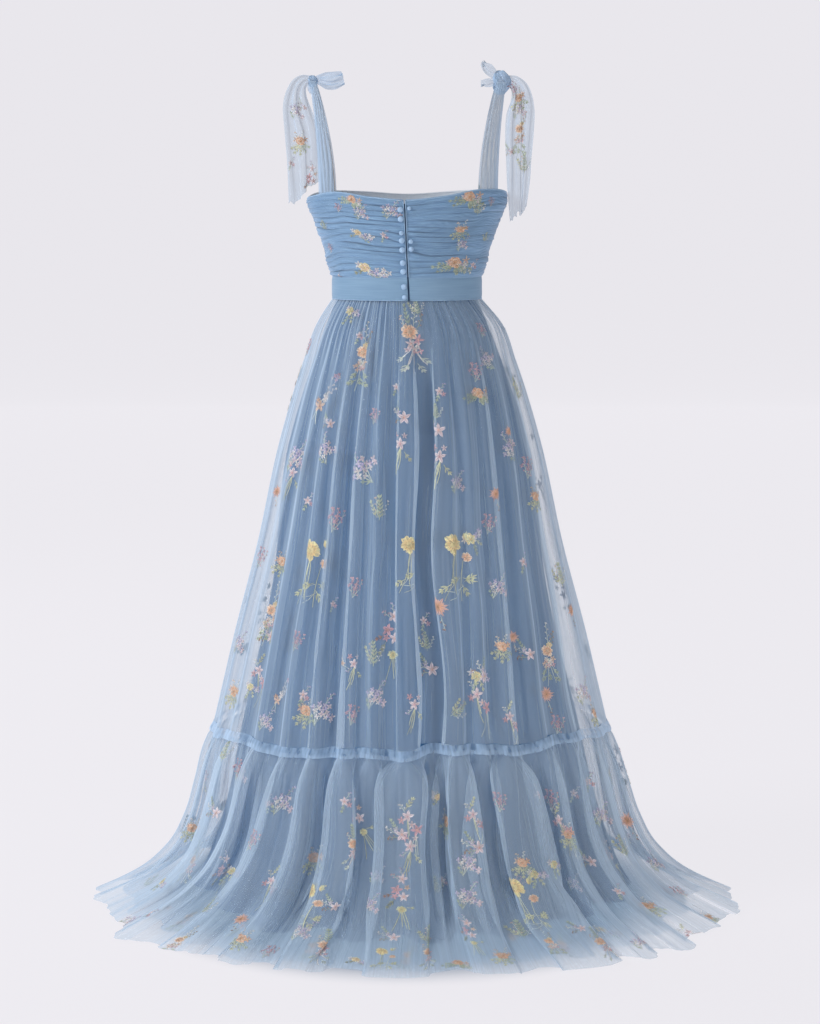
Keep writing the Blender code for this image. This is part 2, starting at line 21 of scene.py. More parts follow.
import bpy
import numpy as np
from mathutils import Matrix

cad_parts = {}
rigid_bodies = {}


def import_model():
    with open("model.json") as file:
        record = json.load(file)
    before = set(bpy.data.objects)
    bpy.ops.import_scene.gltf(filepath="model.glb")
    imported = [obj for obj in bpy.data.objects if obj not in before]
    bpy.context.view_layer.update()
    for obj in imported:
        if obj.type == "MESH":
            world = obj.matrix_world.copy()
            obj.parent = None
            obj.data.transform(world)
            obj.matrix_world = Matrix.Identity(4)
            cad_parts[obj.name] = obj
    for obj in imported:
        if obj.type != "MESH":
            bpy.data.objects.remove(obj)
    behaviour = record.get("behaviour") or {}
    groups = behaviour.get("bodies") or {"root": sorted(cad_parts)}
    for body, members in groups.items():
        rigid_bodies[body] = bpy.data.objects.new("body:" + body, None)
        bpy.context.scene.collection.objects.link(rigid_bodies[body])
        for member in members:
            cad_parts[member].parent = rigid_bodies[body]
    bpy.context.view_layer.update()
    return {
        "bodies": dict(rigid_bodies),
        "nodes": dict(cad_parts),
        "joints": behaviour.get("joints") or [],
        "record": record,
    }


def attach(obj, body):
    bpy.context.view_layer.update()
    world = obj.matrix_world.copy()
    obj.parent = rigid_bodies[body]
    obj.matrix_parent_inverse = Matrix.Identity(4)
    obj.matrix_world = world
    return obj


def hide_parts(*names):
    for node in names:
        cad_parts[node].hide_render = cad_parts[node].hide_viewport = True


log = logging.getLogger("gown")

# Types: an array of numbers or points, and three numbers such as a place, a size or a colour
Grid = np.ndarray
Triple = tuple[float, float, float]

BODY = "root"
MM = 0.001

# Heights above the waist seam
FLOOR = -1.060
BAND_TOP = 0.0390
BODICE_FOOT = 0.0393
TIER_SEAM = -0.7560
TIER_BAND_TOP = -0.7555
TIER_BAND_FOOT = -0.7722
RUFFLE_TOP = -0.7685
LINING_FOOT = -1.0500

# The photograph's frame
PHOTO_WIDTH = 820
PHOTO_HEIGHT = 1024


# ---- Small tools ----


def table(kind: type, *rows: tuple) -> tuple:
    """Make one record of a kind from each row, whose values follow the record's fields."""
    return tuple(kind(*row) for row in rows)


def shares(rows: int, columns: int) -> tuple[Grid, Grid]:
    """Shares from 0 to 1 down a grid's rows, and from left to right along its columns."""
    return np.linspace(0.0, 1.0, rows)[:, None], np.linspace(0.0, 1.0, columns)[None, :]


def linear(hex_colour: str) -> tuple[float, float, float, float]:
    """Turn an sRGB hex colour such as "#88AACC" into linear RGBA."""
    channels = [int(hex_colour[i:i + 2], 16) / 255.0 for i in (1, 3, 5)]
    return (*[c / 12.92 if c <= 0.04045 else ((c + 0.055) / 1.055) ** 2.4 for c in channels], 1.0)


def smooth(at: Grid, places: Sequence[float], values: Sequence[float]) -> Grid:
    """Read a smooth curve that passes through values at rising places.

    Args:
        at: where to read it, an array of any shape.
        places: the rising places of the values.
        values: the values there.

    Returns:
        The curve's values, in the shape of at. Each stretch is a cubic whose slope at a place is
        the mean slope of its two neighbours.
    """
    at = np.asarray(at, float)
    places = np.asarray(places, float)
    values = np.asarray(values, float)
    slopes = np.gradient(values, places)
    span = np.clip(np.searchsorted(places, at, side="right") - 1, 0, len(places) - 2)
    step = places[span + 1] - places[span]
    t = np.clip((at - places[span]) / step, 0.0, 1.0)
    return ((1 + 2 * t) * (1 - t) ** 2 * values[span] + t * (1 - t) ** 2 * step * slopes[span]
            + t * t * (3 - 2 * t) * values[span + 1] + t * t * (t - 1) * step * slopes[span + 1])


def wander(x: Grid, y: Grid, seed: int) -> Grid:
    """Smooth random heights between -1 and 1 over a plane, with cells one unit across.

    Args:
        x: places along the first direction, in cells.
        y: places along the second direction, in cells.
        seed: the number that picks the pattern.

    Returns:
        The heights: random corner values, eased between the corners of each cell.
    """
    x, y = np.broadcast_arrays(np.asarray(x, float), np.asarray(y, float))
    corners = np.random.default_rng(seed).uniform(-1.0, 1.0, (64, 64))
    x0, y0 = np.floor(x).astype(int), np.floor(y).astype(int)
    u, v = x - x0, y - y0
    u, v = u * u * (3 - 2 * u), v * v * (3 - 2 * v)
    corner = [[corners[(x0 + i) % 64, (y0 + j) % 64] for j in (0, 1)] for i in (0, 1)]
    return ((corner[0][0] * (1 - u) + corner[1][0] * u) * (1 - v)
            + (corner[0][1] * (1 - u) + corner[1][1] * u) * v)


def step_up(value: Grid, low: float, high: float) -> Grid:
    """Ease from 0 at low to 1 at high."""
    t = np.clip((np.asarray(value, float) - low) / (high - low), 0.0, 1.0)
    return t * t * (3 - 2 * t)


def wire(tree: bpy.types.NodeTree, node: bpy.types.Node, **inputs: object) -> None:
    """Set or link a node's inputs.

    Args:
        tree: the node tree that the node is in.
        node: the node.
        inputs: socket values or sockets to link from, by the socket's name with _ for spaces. A
            name such as in_1 means the socket of that number.
    """
    for key, value in inputs.items():
        socket = node.inputs[int(key[3:]) if key.startswith("in_") else key.replace("_", " ")]
        if isinstance(value, bpy.types.NodeSocket):
            tree.links.new(value, socket)
        else:
            socket.default_value = value


def add_node(tree: bpy.types.NodeTree, kind: str, settings: dict[str, object] | None = None,
             **inputs: object) -> bpy.types.Node:
    """Add a shader node, of a kind named without "ShaderNode", with its settings and inputs."""
    made = tree.nodes.new("ShaderNode" + kind)
    for key, value in (settings or {}).items():
        setattr(made, key, value)
    wire(tree, made, **inputs)
    return made


def new_material(name: str) -> tuple[bpy.types.Material, bpy.types.NodeTree, bpy.types.Node]:
    """Make an empty material with a Principled shader on its output.

    Returns:
        The material, its node tree and its Principled node.
    """
    material = bpy.data.materials.new(name)
    material.use_nodes = True
    tree = material.node_tree
    tree.nodes.clear()
    shader = add_node(tree, "BsdfPrincipled")
    add_node(tree, "OutputMaterial", Surface=shader.outputs[0])
    return material, tree, shader


# ---- The camera and what it sees ----


@dataclass(frozen=True)
class Viewpoint:
    """Where the photograph was taken from, worked out from the hem's oval and the waist's width."""

    distance: float = 5.0
    height: float = 1.30
    sideways: float = 0.0053
    pitch: float = 7.05
    pixels_per_metre: float = 569.0
    long_side_mm: float = 36.0

    @property
    def place(self) -> Grid:
        """The camera's place."""
        return np.array([self.sideways, -self.distance, FLOOR + self.height])

    @property
    def focal_pixels(self) -> float:
        """Focal length in the photograph's pixels."""
        return self.pixels_per_metre * self.distance

    def project(self, points: Grid) -> tuple[Grid, Grid]:
        """Find the photograph's pixel for each point.

        Args:
            points: an array whose last axis is x, y, z.

        Returns:
            Pixels, across and down, and the points' distances along the view.
        """
        pitch = radians(self.pitch)
        ahead = np.array([0.0, cos(pitch), -sin(pitch)])
        up = np.array([0.0, sin(pitch), cos(pitch)])
        offset = points - self.place
        depth = offset @ ahead
        across = PHOTO_WIDTH / 2 + self.focal_pixels * offset[..., 0] / depth
        down = PHOTO_HEIGHT / 2 - self.focal_pixels * (offset @ up) / depth
        return np.stack([across, down], axis=-1), depth

    def add_camera(self) -> None:
        """Put the scene's camera at the photograph's viewpoint."""
        data = bpy.data.cameras.new("photo view")
        data.sensor_fit = "VERTICAL"
        data.sensor_height = self.long_side_mm
        data.lens = self.focal_pixels / PHOTO_HEIGHT * self.long_side_mm
        camera = bpy.data.objects.new("photo view", data)
        camera.location = self.place
        camera.rotation_euler = (radians(90.0 - self.pitch), 0.0, 0.0)
        bpy.context.scene.collection.objects.link(camera)
        bpy.context.scene.camera = camera


# ---- Cloth grids ----


@dataclass
class Cloth:
    """A sheet of cloth as a grid of points: rows run downward, columns to the right from outside."""

    points: Grid

    @property
    def shape(self) -> tuple[int, int]:
        """Rows and columns."""
        return self.points.shape[0], self.points.shape[1]

    @cached_property
    def normals(self) -> Grid:
        """Outward unit normals: the down direction crossed with the right direction."""
        down = np.gradient(self.points, axis=0)
        right = np.gradient(self.points, axis=1)
        normals = np.cross(down, right)
        return normals / np.maximum(np.linalg.norm(normals, axis=-1, keepdims=True), 1e-12)

    @cached_property
    def along(self) -> Grid:
        """Cloth length along each row from its first column, in metres."""
        steps = np.linalg.norm(np.diff(self.points, axis=1), axis=-1)
        return np.concatenate([np.zeros((self.shape[0], 1)), np.cumsum(steps, axis=1)], axis=1)

    @cached_property
    def down(self) -> Grid:
        """Cloth length down each column from its first row, in metres."""
        steps = np.linalg.norm(np.diff(self.points, axis=0), axis=-1)
        return np.concatenate([np.zeros((1, self.shape[1])), np.cumsum(steps, axis=0)], axis=0)

    @property
    def area(self) -> float:
        """The cloth's area in square metres."""
        right = np.diff(self.points, axis=1)[:-1]
        down = np.diff(self.points, axis=0)[:, :-1]
        return float(np.linalg.norm(np.cross(right, down), axis=-1).sum())

    def read(self, values: Grid, rows: Grid, columns: Grid) -> Grid:
        """Read a grid of vectors between its points, at fractional rows and columns."""
        rows = np.clip(rows, 0.0, self.shape[0] - 1.001)
        columns = np.clip(columns, 0.0, self.shape[1] - 1.001)
        r, c = rows.astype(int), columns.astype(int)
        u, v = (rows - r)[:, None], (columns - c)[:, None]
        return ((values[r, c] * (1 - v) + values[r, c + 1] * v) * (1 - u)
                + (values[r + 1, c] * (1 - v) + values[r + 1, c + 1] * v) * u)

    def lay(self, row: float, column: float, flat: Grid, raised: Grid) -> Grid:
        """Lay flat needlework onto the cloth.

        Args:
            row: the anchor's row.
            column: the anchor's column.
            flat: places to the right of and above the anchor, measured on the cloth in metres.
            raised: how far each stands off the cloth.

        Returns:
            The points in space: lengths are measured along the anchor's own row and column.
        """
        row = float(np.clip(row, 0, self.shape[0] - 1))
        column = float(np.clip(column, 0, self.shape[1] - 1))
        along = self.along[int(round(row))]
        down = self.down[:, int(round(column))]
        every_column = np.arange(self.shape[1])
        every_row = np.arange(self.shape[0])
        columns = np.interp(np.interp(column, every_column, along) + flat[:, 0], along, every_column)
        rows = np.interp(np.interp(row, every_row, down) - flat[:, 1], down, every_row)
        outward = self.read(self.normals, rows, columns)
        return self.read(self.points, rows, columns) + outward * raised[:, None]

    def to_object(self, name: str, material: bpy.types.Material,
                  shade: Grid | None = None) -> bpy.types.Object:
        """Make the grid a mesh object, with a UV map in metres of cloth and a shade for each point."""
        rows, columns = self.shape
        corner = (np.arange(rows - 1)[:, None] * columns + np.arange(columns - 1)).ravel()
        faces = np.stack([corner, corner + columns, corner + columns + 1, corner + 1], axis=1)
        across = self.along[rows // 2]
        fall = self.down.mean(axis=1)
        uv = np.stack(np.broadcast_arrays(across[None, :], fall[:, None]), axis=-1).reshape(-1, 2)
        tint = None if shade is None else np.repeat(shade.reshape(-1, 1), 3, axis=1)
        return make_object(name, self.points.reshape(-1, 3), faces, material, uv, tint)


def make_object(name: str, points: Grid, faces: Grid, material: bpy.types.Material,
                uv: Grid | None = None, tint: Grid | None = None) -> bpy.types.Object:
    """Make a smooth mesh object at the origin.

    Args:
        name: the piece's name.
        points: one row of x, y, z for each point.
        faces: point numbers, each row one face of three or four corners.
        material: the finish.
        uv: a UV place for each point.
        tint: a linear RGB colour for each point, kept as the attribute "thread".

    Returns:
        The new object, linked to the scene.
    """
    sides = faces.shape[1]
    mesh = bpy.data.meshes.new(name)
    mesh.vertices.add(len(points))
    mesh.vertices.foreach_set("co", points.astype(np.float32).ravel())
    mesh.loops.add(faces.size)
    mesh.loops.foreach_set("vertex_index", faces.astype(np.int32).ravel())
    mesh.polygons.add(len(faces))
    mesh.polygons.foreach_set("loop_start", np.arange(0, faces.size, sides, dtype=np.int32))
    if uv is not None:
        layer = mesh.uv_layers.new(name="cloth")
        layer.data.foreach_set("uv", uv[faces.ravel()].astype(np.float32).ravel())
    if tint is not None:
        layer = mesh.color_attributes.new("thread", "FLOAT_COLOR", "POINT")
        rgba = np.concatenate([tint, np.ones((len(tint), 1))], axis=1)
        layer.data.foreach_set("color", rgba.astype(np.float32).ravel())
    mesh.update(calc_edges=True)
    mesh.validate()
    mesh.shade_smooth()
    mesh.materials.append(material)
    piece = bpy.data.objects.new(name, mesh)
    bpy.context.scene.collection.objects.link(piece)
    return piece


def settle(piece: bpy.types.Object, slot: str, *nodes: str) -> bpy.types.Object:
    """Let a piece ride on the gown's body and stand for its nodes, which are hidden, and log its triangles.
    """
    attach(piece, BODY)
    if nodes:
        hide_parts(*nodes)
    count = sum(len(p.vertices) - 2 for p in piece.data.polygons)
    log.info("%s: %d triangles", piece.name, count)
    return piece


# ---- The garment's outline ----


@dataclass(frozen=True)
class Section:
    """A level section of the garment: half its width, its depths behind and before, its centre."""

    height: float
    half_width: float
    back_depth: float
    front_depth: float
    centre: float = 0.0


@dataclass(frozen=True)
class Outline:
    """A stack of sections, read smoothly at any height."""

    sections: tuple[Section, ...]

    def read(self, column: str, heights: Grid) -> Grid:
        """One measure of the sections at the given heights."""
        ordered = sorted(self.sections, key=lambda s: s.height)
        return smooth(heights, [s.height for s in ordered], [getattr(s, column) for s in ordered])

    def ring(self, heights: Grid, angles: Grid, outward: Grid | float = 0.0,
             sideways: Grid | float = 0.0) -> Grid:
        """Points round the garment.

        Args:
            heights: each point's height.
            angles: degrees round the body: 0 at the centre back, 90 at the right side seam.
            outward: how far to move each point out from its oval section.
            sideways: how far to move it along the section, to the right seen from outside.

        Returns:
            The points. A section is half of one oval at the back and half of another in front.
        """
        heights, turn, outward, sideways = np.broadcast_arrays(heights, np.radians(angles), outward,
                                                               sideways)
        half_width = self.read("half_width", heights)
        back, front = self.read("back_depth", heights), self.read("front_depth", heights)
        depth = np.where(np.cos(turn) > 0, back, front)
        normal = np.stack([np.sin(turn) / half_width, -np.cos(turn) / depth], axis=-1)
        normal /= np.linalg.norm(normal, axis=-1, keepdims=True)
        x = self.read("centre", heights) + half_width * np.sin(turn)
        y = -depth * np.cos(turn)
        x = x + outward * normal[..., 0] - sideways * normal[..., 1]
        y = y + outward * normal[..., 1] + sideways * normal[..., 0]
        return np.stack([x, y, heights], axis=-1)


UPPER_OUTLINE = Outline(table(
    Section,
    (0.0, 0.13, 0.0975, 0.0975, 0.0), (-0.012, 0.1395, 0.106, 0.104, 0.001),
    (-0.04, 0.16, 0.122, 0.118, 0.004), (-0.11, 0.187, 0.149, 0.143, 0.005),
    (-0.25, 0.23, 0.19, 0.182, 0.0055), (-0.43, 0.27, 0.223, 0.214, 0.0055),
    (-0.6, 0.3145, 0.252, 0.242, 0.006), (-0.757, 0.351, 0.28, 0.27, 0.006),
))
LOWER_OUTLINE = Outline(table(
    Section,
    (-0.757, 0.351, 0.28, 0.27, 0.006), (-0.8, 0.371, 0.302, 0.29, 0.006),
    (-0.86, 0.389, 0.33, 0.315, 0.008), (-0.92, 0.408, 0.366, 0.34, 0.009),
    (-0.98, 0.442, 0.42, 0.38, 0.009), (-1.023, 0.492, 0.485, 0.43, 0.009),
    (-1.045, 0.534, 0.542, 0.48, 0.009), (-1.06, 0.568, 0.6, 0.525, 0.009),
))
UNDER_LAYER_OUTLINE = Outline(table(
    Section,
    (-0.757, 0.346, 0.275, 0.265, 0.006), (-0.8, 0.358, 0.288, 0.276, 0.006),
    (-0.86, 0.37, 0.308, 0.294, 0.008), (-0.92, 0.384, 0.338, 0.316, 0.009),
    (-0.98, 0.412, 0.388, 0.354, 0.009), (-1.023, 0.454, 0.446, 0.398, 0.009),
    (-1.045, 0.49, 0.496, 0.438, 0.009), (-1.06, 0.52, 0.548, 0.476, 0.009),
))
UNDERSKIRT_OUTLINE = Outline(table(
    Section,
    (0.0, 0.1225, 0.09, 0.09, 0.0), (-0.03, 0.135, 0.103, 0.099, 0.0),
    (-0.11, 0.1655, 0.1255, 0.1195, 0.001), (-0.26, 0.2125, 0.156, 0.148, 0.003),
    (-0.5, 0.242, 0.186, 0.178, 0.004), (-0.75, 0.298, 0.234, 0.224, 0.006),
    (-0.9, 0.332, 0.282, 0.26, 0.008), (-0.985, 0.36, 0.338, 0.298, 0.009),
    (-1.02, 0.376, 0.378, 0.32, 0.009), (-1.05, 0.394, 0.418, 0.342, 0.009),
))
BODICE_OUTLINE = Outline(table(
    Section,
    (0.0393, 0.132, 0.099, 0.099), (0.053, 0.137, 0.0995, 0.104), (0.081, 0.143, 0.1005, 0.116),
    (0.109, 0.152, 0.102, 0.127), (0.137, 0.1625, 0.104, 0.133), (0.165, 0.1735, 0.1055, 0.131),
    (0.195, 0.1735, 0.105, 0.124),
))
WAISTBAND_OUTLINE = Outline(table(
    Section,
    (-0.01, 0.1305, 0.098, 0.098), (0.049, 0.1305, 0.098, 0.098),
))

# Degrees round the body and the neckline's height
NECKLINE = (
    (-90, 0.1730), (-66, 0.1790), (-46, 0.1850), (-20, 0.1765), (0, 0.1720), (20, 0.1775), (46, 0.1890),
    (66, 0.1890), (90, 0.1840), (125, 0.1880), (155, 0.1835), (180, 0.1790), (205, 0.1835), (235, 0.1850),
    (270, 0.1730),
)


def neck_height(angles: Grid) -> Grid:
    """The neckline's height at each angle round the body."""
    return smooth(angles, *zip(*NECKLINE))


# Degrees round the half and how far the seam between the tiers rises there, in millimetres
SEAM_RISES = (
    (-90, 3), (-72, 5), (-60, 9), (-51, 6), (-44, 1), (-38, 0), (-28, 2), (-18, 6), (-10, 9), (-5, 4), (0, 5),
    (4, 10), (14, 14), (20, 14), (25, 11), (31, 7), (36, 6), (40, 13), (50, 15), (60, 14), (74, 8), (90, 3),
)
SEAM_REACH = 0.10


def seam_rise(angles: Grid, heights: Grid) -> Grid:
    """How far the cloth is drawn up beside the seam between the tiers, which does not run level.

    Args:
        angles: angles from -90 to 90 round the half, back or front.
        heights: the cloth's heights.

    Returns:
        The rise in metres: the seam's own, easing to nothing above and below it.
    """
    rise = smooth(angles, *zip(*SEAM_RISES)) * MM
    above = 1.0 - step_up(heights, TIER_BAND_TOP, TIER_BAND_TOP + SEAM_REACH)
    below = step_up(heights, TIER_BAND_FOOT - SEAM_REACH, TIER_BAND_FOOT)
    return rise * above * below


# ---- Finishes ----


@dataclass(frozen=True)
class TulleNet:
    """Soft nylon tulle: a fine knitted net, dyed pale blue, with a faint powdery sheen.

    The real holes are 1 mm across, finer than the picture shows, so the net is drawn as soft
    streaks a few millimetres wide that run down the cloth. Seen along its surface more threads
    lie behind each other, so it covers more: what shows through is 1 - cover, to the power of
    one over the cosine of the angle.
    """

    name: str
    colour: str = "#BDD2E7"
    cover: float = 0.285
    streak_cover: float = 0.24
    streak_mm: float = 5.5
    streak_length_mm: float = 260.0
    roughness: float = 0.85
    sheen: float = 0.8

    def make(self) -> bpy.types.Material:
        """Build the material."""
        material, tree, shader = new_material(self.name)
        cloth = add_node(tree, "UVMap", {"uv_map": "cloth"})
        across, fall = 1000.0 / self.streak_mm, 1000.0 / self.streak_length_mm
        stretch = add_node(tree, "Mapping", Vector=cloth.outputs[0], Scale=(across, fall, 1.0))
        streak = add_node(tree, "TexNoise", {"noise_dimensions": "2D"}, Vector=stretch.outputs[0],
                          Scale=1.0, Detail=1.5, Roughness=0.6)
        through = add_node(tree, "Math", {"operation": "MULTIPLY_ADD", "use_clamp": True},
                           in_0=streak.outputs[0], in_1=-self.streak_cover,
                           in_2=1.0 - self.cover + 0.5 * self.streak_cover)
        facing = add_node(tree, "LayerWeight", Blend=0.5)
        cosine = add_node(tree, "Math", {"operation": "SUBTRACT"}, in_0=1.0, in_1=facing.outputs["Facing"])
        limited = add_node(tree, "Math", {"operation": "MAXIMUM"}, in_0=cosine.outputs[0], in_1=0.14)
        layers = add_node(tree, "Math", {"operation": "DIVIDE"}, in_0=1.0, in_1=limited.outputs[0])
        clear = add_node(tree, "Math", {"operation": "POWER"}, in_0=through.outputs[0],
                         in_1=layers.outputs[0])
        alpha = add_node(tree, "Math", {"operation": "SUBTRACT", "use_clamp": True}, in_0=1.0,
                         in_1=clear.outputs[0])
        wire(tree, shader, Alpha=alpha.outputs[0], Base_Color=linear(self.colour), Roughness=self.roughness,
             Sheen_Weight=self.sheen, Sheen_Roughness=0.35, Sheen_Tint=linear("#DCE8F6"),
             Specular_IOR_Level=0.2)
        return material


@dataclass(frozen=True)
class WovenCloth:
    """An opaque cloth: polyester satin, or net laid over its backing.

    Fine streaks follow the pull of the cloth, as its threads do, and a thread-sized bump gives a
    soft broken gloss. The threads are 0.3 mm apart, drawn at about a millimetre so that they show.
    A cloth with painted shade is darkened by the attribute "thread", which holds painted shade in its
    creases.
    """

    name: str
    colour: str
    second_colour: str
    roughness: float = 0.55
    sheen: float = 0.2
    streak_mm: float = 2.4
    streak_length_mm: float = 60.0
    thread_mm: float = 1.1
    bump: float = 0.25
    runs_across: bool = False
    darkened_by_painted_shade: bool = False

    def make(self) -> bpy.types.Material:
        """Build the material."""
        material, tree, shader = new_material(self.name)
        cloth = add_node(tree, "UVMap", {"uv_map": "cloth"})
        short, long = 1000.0 / self.streak_mm, 1000.0 / self.streak_length_mm
        scale = (long, short, 1.0) if self.runs_across else (short, long, 1.0)
        stretch = add_node(tree, "Mapping", Vector=cloth.outputs[0], Scale=scale)
        streak = add_node(tree, "TexNoise", Vector=stretch.outputs[0], Scale=1.0, Detail=3.0,
                          Roughness=0.62)
        ramp = add_node(tree, "ValToRGB", Fac=streak.outputs[0])
        ramp.color_ramp.elements[0].position = 0.32
        ramp.color_ramp.elements[0].color = linear(self.second_colour)
        ramp.color_ramp.elements[1].position = 0.68
        ramp.color_ramp.elements[1].color = linear(self.colour)
        thread = add_node(tree, "TexNoise", Vector=cloth.outputs[0], Scale=1000.0 / self.thread_mm,
                          Detail=2.0)
        height = add_node(tree, "Math", {"operation": "ADD"}, in_0=streak.outputs[0],
                          in_1=thread.outputs[0])
        bump = add_node(tree, "Bump", Strength=self.bump, Distance=0.4 * MM, Height=height.outputs[0])
        colour = ramp.outputs[0]
        # painted shade: the colour is multiplied by the attribute "thread", which holds the creases' painted
        # shade
        if self.darkened_by_painted_shade:
            own = add_node(tree, "VertexColor", {"layer_name": "thread"})
            colour = add_node(tree, "Mix", {"data_type": "RGBA", "blend_type": "MULTIPLY"}, Factor=1.0,
                              A=colour, B=own.outputs[0]).outputs["Result"]
        wire(tree, shader, Base_Color=colour, Normal=bump.outputs[0], Roughness=self.roughness,
             Sheen_Weight=self.sheen, Sheen_Roughness=0.5, Sheen_Tint=linear("#C8D8EC"),
             Specular_IOR_Level=0.3)
        return material


@dataclass(frozen=True)
class RayonThread:
    """Glossy rayon embroidery thread in satin stitch: fine parallel threads, 0.4 mm apart.

    They are drawn 0.8 mm apart so that they show. The colour is each stitch's own, with its painted glint and
    shade.
    """

    name: str = "rayon embroidery thread, satin stitched"
    thread_mm: float = 0.8
    roughness: float = 0.45

    def make(self) -> bpy.types.Material:
        """Build the material."""
        material, tree, shader = new_material(self.name)
        own = add_node(tree, "VertexColor", {"layer_name": "thread"})
        cloth = add_node(tree, "UVMap", {"uv_map": "cloth"})
        bands = add_node(tree, "TexWave", {"bands_direction": "X"}, Vector=cloth.outputs[0],
                         Scale=1000.0 / self.thread_mm / 20.0, Distortion=0.6)
        shade = add_node(tree, "Mix", {"data_type": "RGBA", "blend_type": "MULTIPLY"}, Factor=0.25,
                         A=own.outputs[0], B=bands.outputs[0])
        bump = add_node(tree, "Bump", Strength=0.4, Distance=0.3 * MM, Height=bands.outputs["Fac"])
        wire(tree, shader, Base_Color=shade.outputs["Result"], Normal=bump.outputs[0],
             Roughness=self.roughness, Sheen_Weight=0.15)
        return material


class Finishes:
    """Every finish of the gown, each made once."""

    def __init__(self) -> None:
        """Make the materials."""
        self.upper_net = TulleNet("soft nylon tulle, sheer").make()
        self.lower_net = TulleNet("soft nylon tulle, sheer, closely gathered", cover=0.255,
                                  streak_mm=3.5).make()
        self.under_net = TulleNet("soft nylon tulle, sheer, the ruffle's inner layer", cover=0.20).make()
        self.tie_net = TulleNet("soft nylon tulle, sheer, loose ties", cover=0.58, streak_mm=2.4,
                                streak_length_mm=60.0, colour="#B1C3D7").make()
        self.strap_net = TulleNet("soft nylon tulle, folded into a strap", cover=0.60, streak_cover=0.5,
                                  streak_mm=1.6, streak_length_mm=60.0, colour="#A6BDD6").make()
        self.gathered_net = TulleNet("soft nylon tulle, many layers gathered together", cover=0.62,
                                     streak_cover=0.4, streak_mm=1.6, streak_length_mm=40.0,
                                     colour="#A9C3DF").make()
        self.band_net = TulleNet("soft nylon tulle, gathered into a seam", cover=0.40, streak_cover=0.75,
                                 streak_mm=9.0, streak_length_mm=30.0, colour="#B0CBE8").make()
        self.ruched = WovenCloth("nylon tulle ruched over satin", "#85A6C5", "#698BB0", roughness=0.62,
                                 sheen=0.8, streak_mm=1.6, streak_length_mm=34.0, runs_across=True,
                                 darkened_by_painted_shade=True).make()
        self.waistband = WovenCloth("nylon tulle laid flat over satin", "#84A4C0", "#7696B4", sheen=0.25,
                                    streak_mm=2.6, streak_length_mm=80.0, runs_across=True).make()
        self.lining = WovenCloth("polyester satin lining", "#2E6292", "#295B8A", roughness=0.5, sheen=0.1,
                                 streak_mm=9.0, streak_length_mm=300.0, bump=0.12).make()
        self.backing = WovenCloth("polyester satin backing", "#E9EEF5", "#DEE6EF", roughness=0.5, sheen=0.1,
                                  streak_mm=6.0, streak_length_mm=60.0, bump=0.12).make()
        self.button = WovenCloth("satin drawn over a button", "#A9C6E4", "#9AB9DA", roughness=0.35,
                                 sheen=0.15, streak_mm=1.5, streak_length_mm=3.0, bump=0.15).make()
        self.stand = WovenCloth("satin placket in shade", "#46638A", "#3E5A80", roughness=0.6, sheen=0.1,
                                streak_mm=3.0, streak_length_mm=20.0).make()
        self.binding = WovenCloth("narrow tulle binding", "#9DB9D4", "#89A9C8", roughness=0.6, sheen=0.3,
                                  streak_mm=1.4, streak_length_mm=10.0, runs_across=True).make()
        self.facing = WovenCloth("sand-coloured mesh facing", "#D6CFC8", "#C8C0B8", roughness=0.7,
                                 streak_mm=3.0, streak_length_mm=40.0).make()
        self.thread = RayonThread().make()


# ---- Gathered tiers ----


@dataclass(frozen=True)
class Fold:
    """A ridge of cloth, where it starts and ends, and the valley to its right.

    top and foot are angles round the body. depth is the valley's beside the others. The laps say
    how far the ridge's left and right edges fold over the valleys beside it, and the reaches how
    far the hem goes past its outline there. lean moves the valley to the right, in degrees, and
    puff is how far the ridge swells out below the seam, in metres.
    """

    top: float
    foot: float
    depth: float
    left_lap: float = 0.4
    right_lap: float = 0.4
    back_reach: float = 0.0
    front_reach: float = 0.0
    lean: float = 0.0
    puff: float = 0.0


@dataclass(frozen=True)
class Wave:
    """Half the height of the folds at a height, at the middle of the back or front and at the sides."""

    height: float
    middle: float
    side: float


UPPER_FOLDS = table(
    Fold,
    (-90.0, -90.0, 0.6, 0.0, 0.0), (-75.0, -75.0, 0.6, 0.2, 0.0), (-61.0, -61.0, 0.6, 0.3, 0.1),
    (-52.0, -47.7, 0.5, 0.2, 0.1), (-43.0, -36.5, 0.6, 0.5, 0.1), (-33.0, -27.4, 1.1, 0.9, 0.0),
    (-23.0, -18.0, 0.5, 1.1, 0.5), (-14.0, -10.0, 0.7, 0.0, 0.0), (-3.0, -0.9, 2.0, 1.2, 1.3),
    (18.0, 13.3, 0.6, 1.3, 0.2), (28.4, 21.0, 0.5, 0.0, 0.0), (40.0, 29.5, 0.8, 0.0, 1.1),
    (52.0, 40.5, 0.7, 0.0, 0.5), (64.0, 53.0, 0.7, 0.0, 0.9), (76.0, 68.0, 0.6, 0.2, 0.3),
    (90.0, 90.0, 0.8, 0.0, 0.0),
)
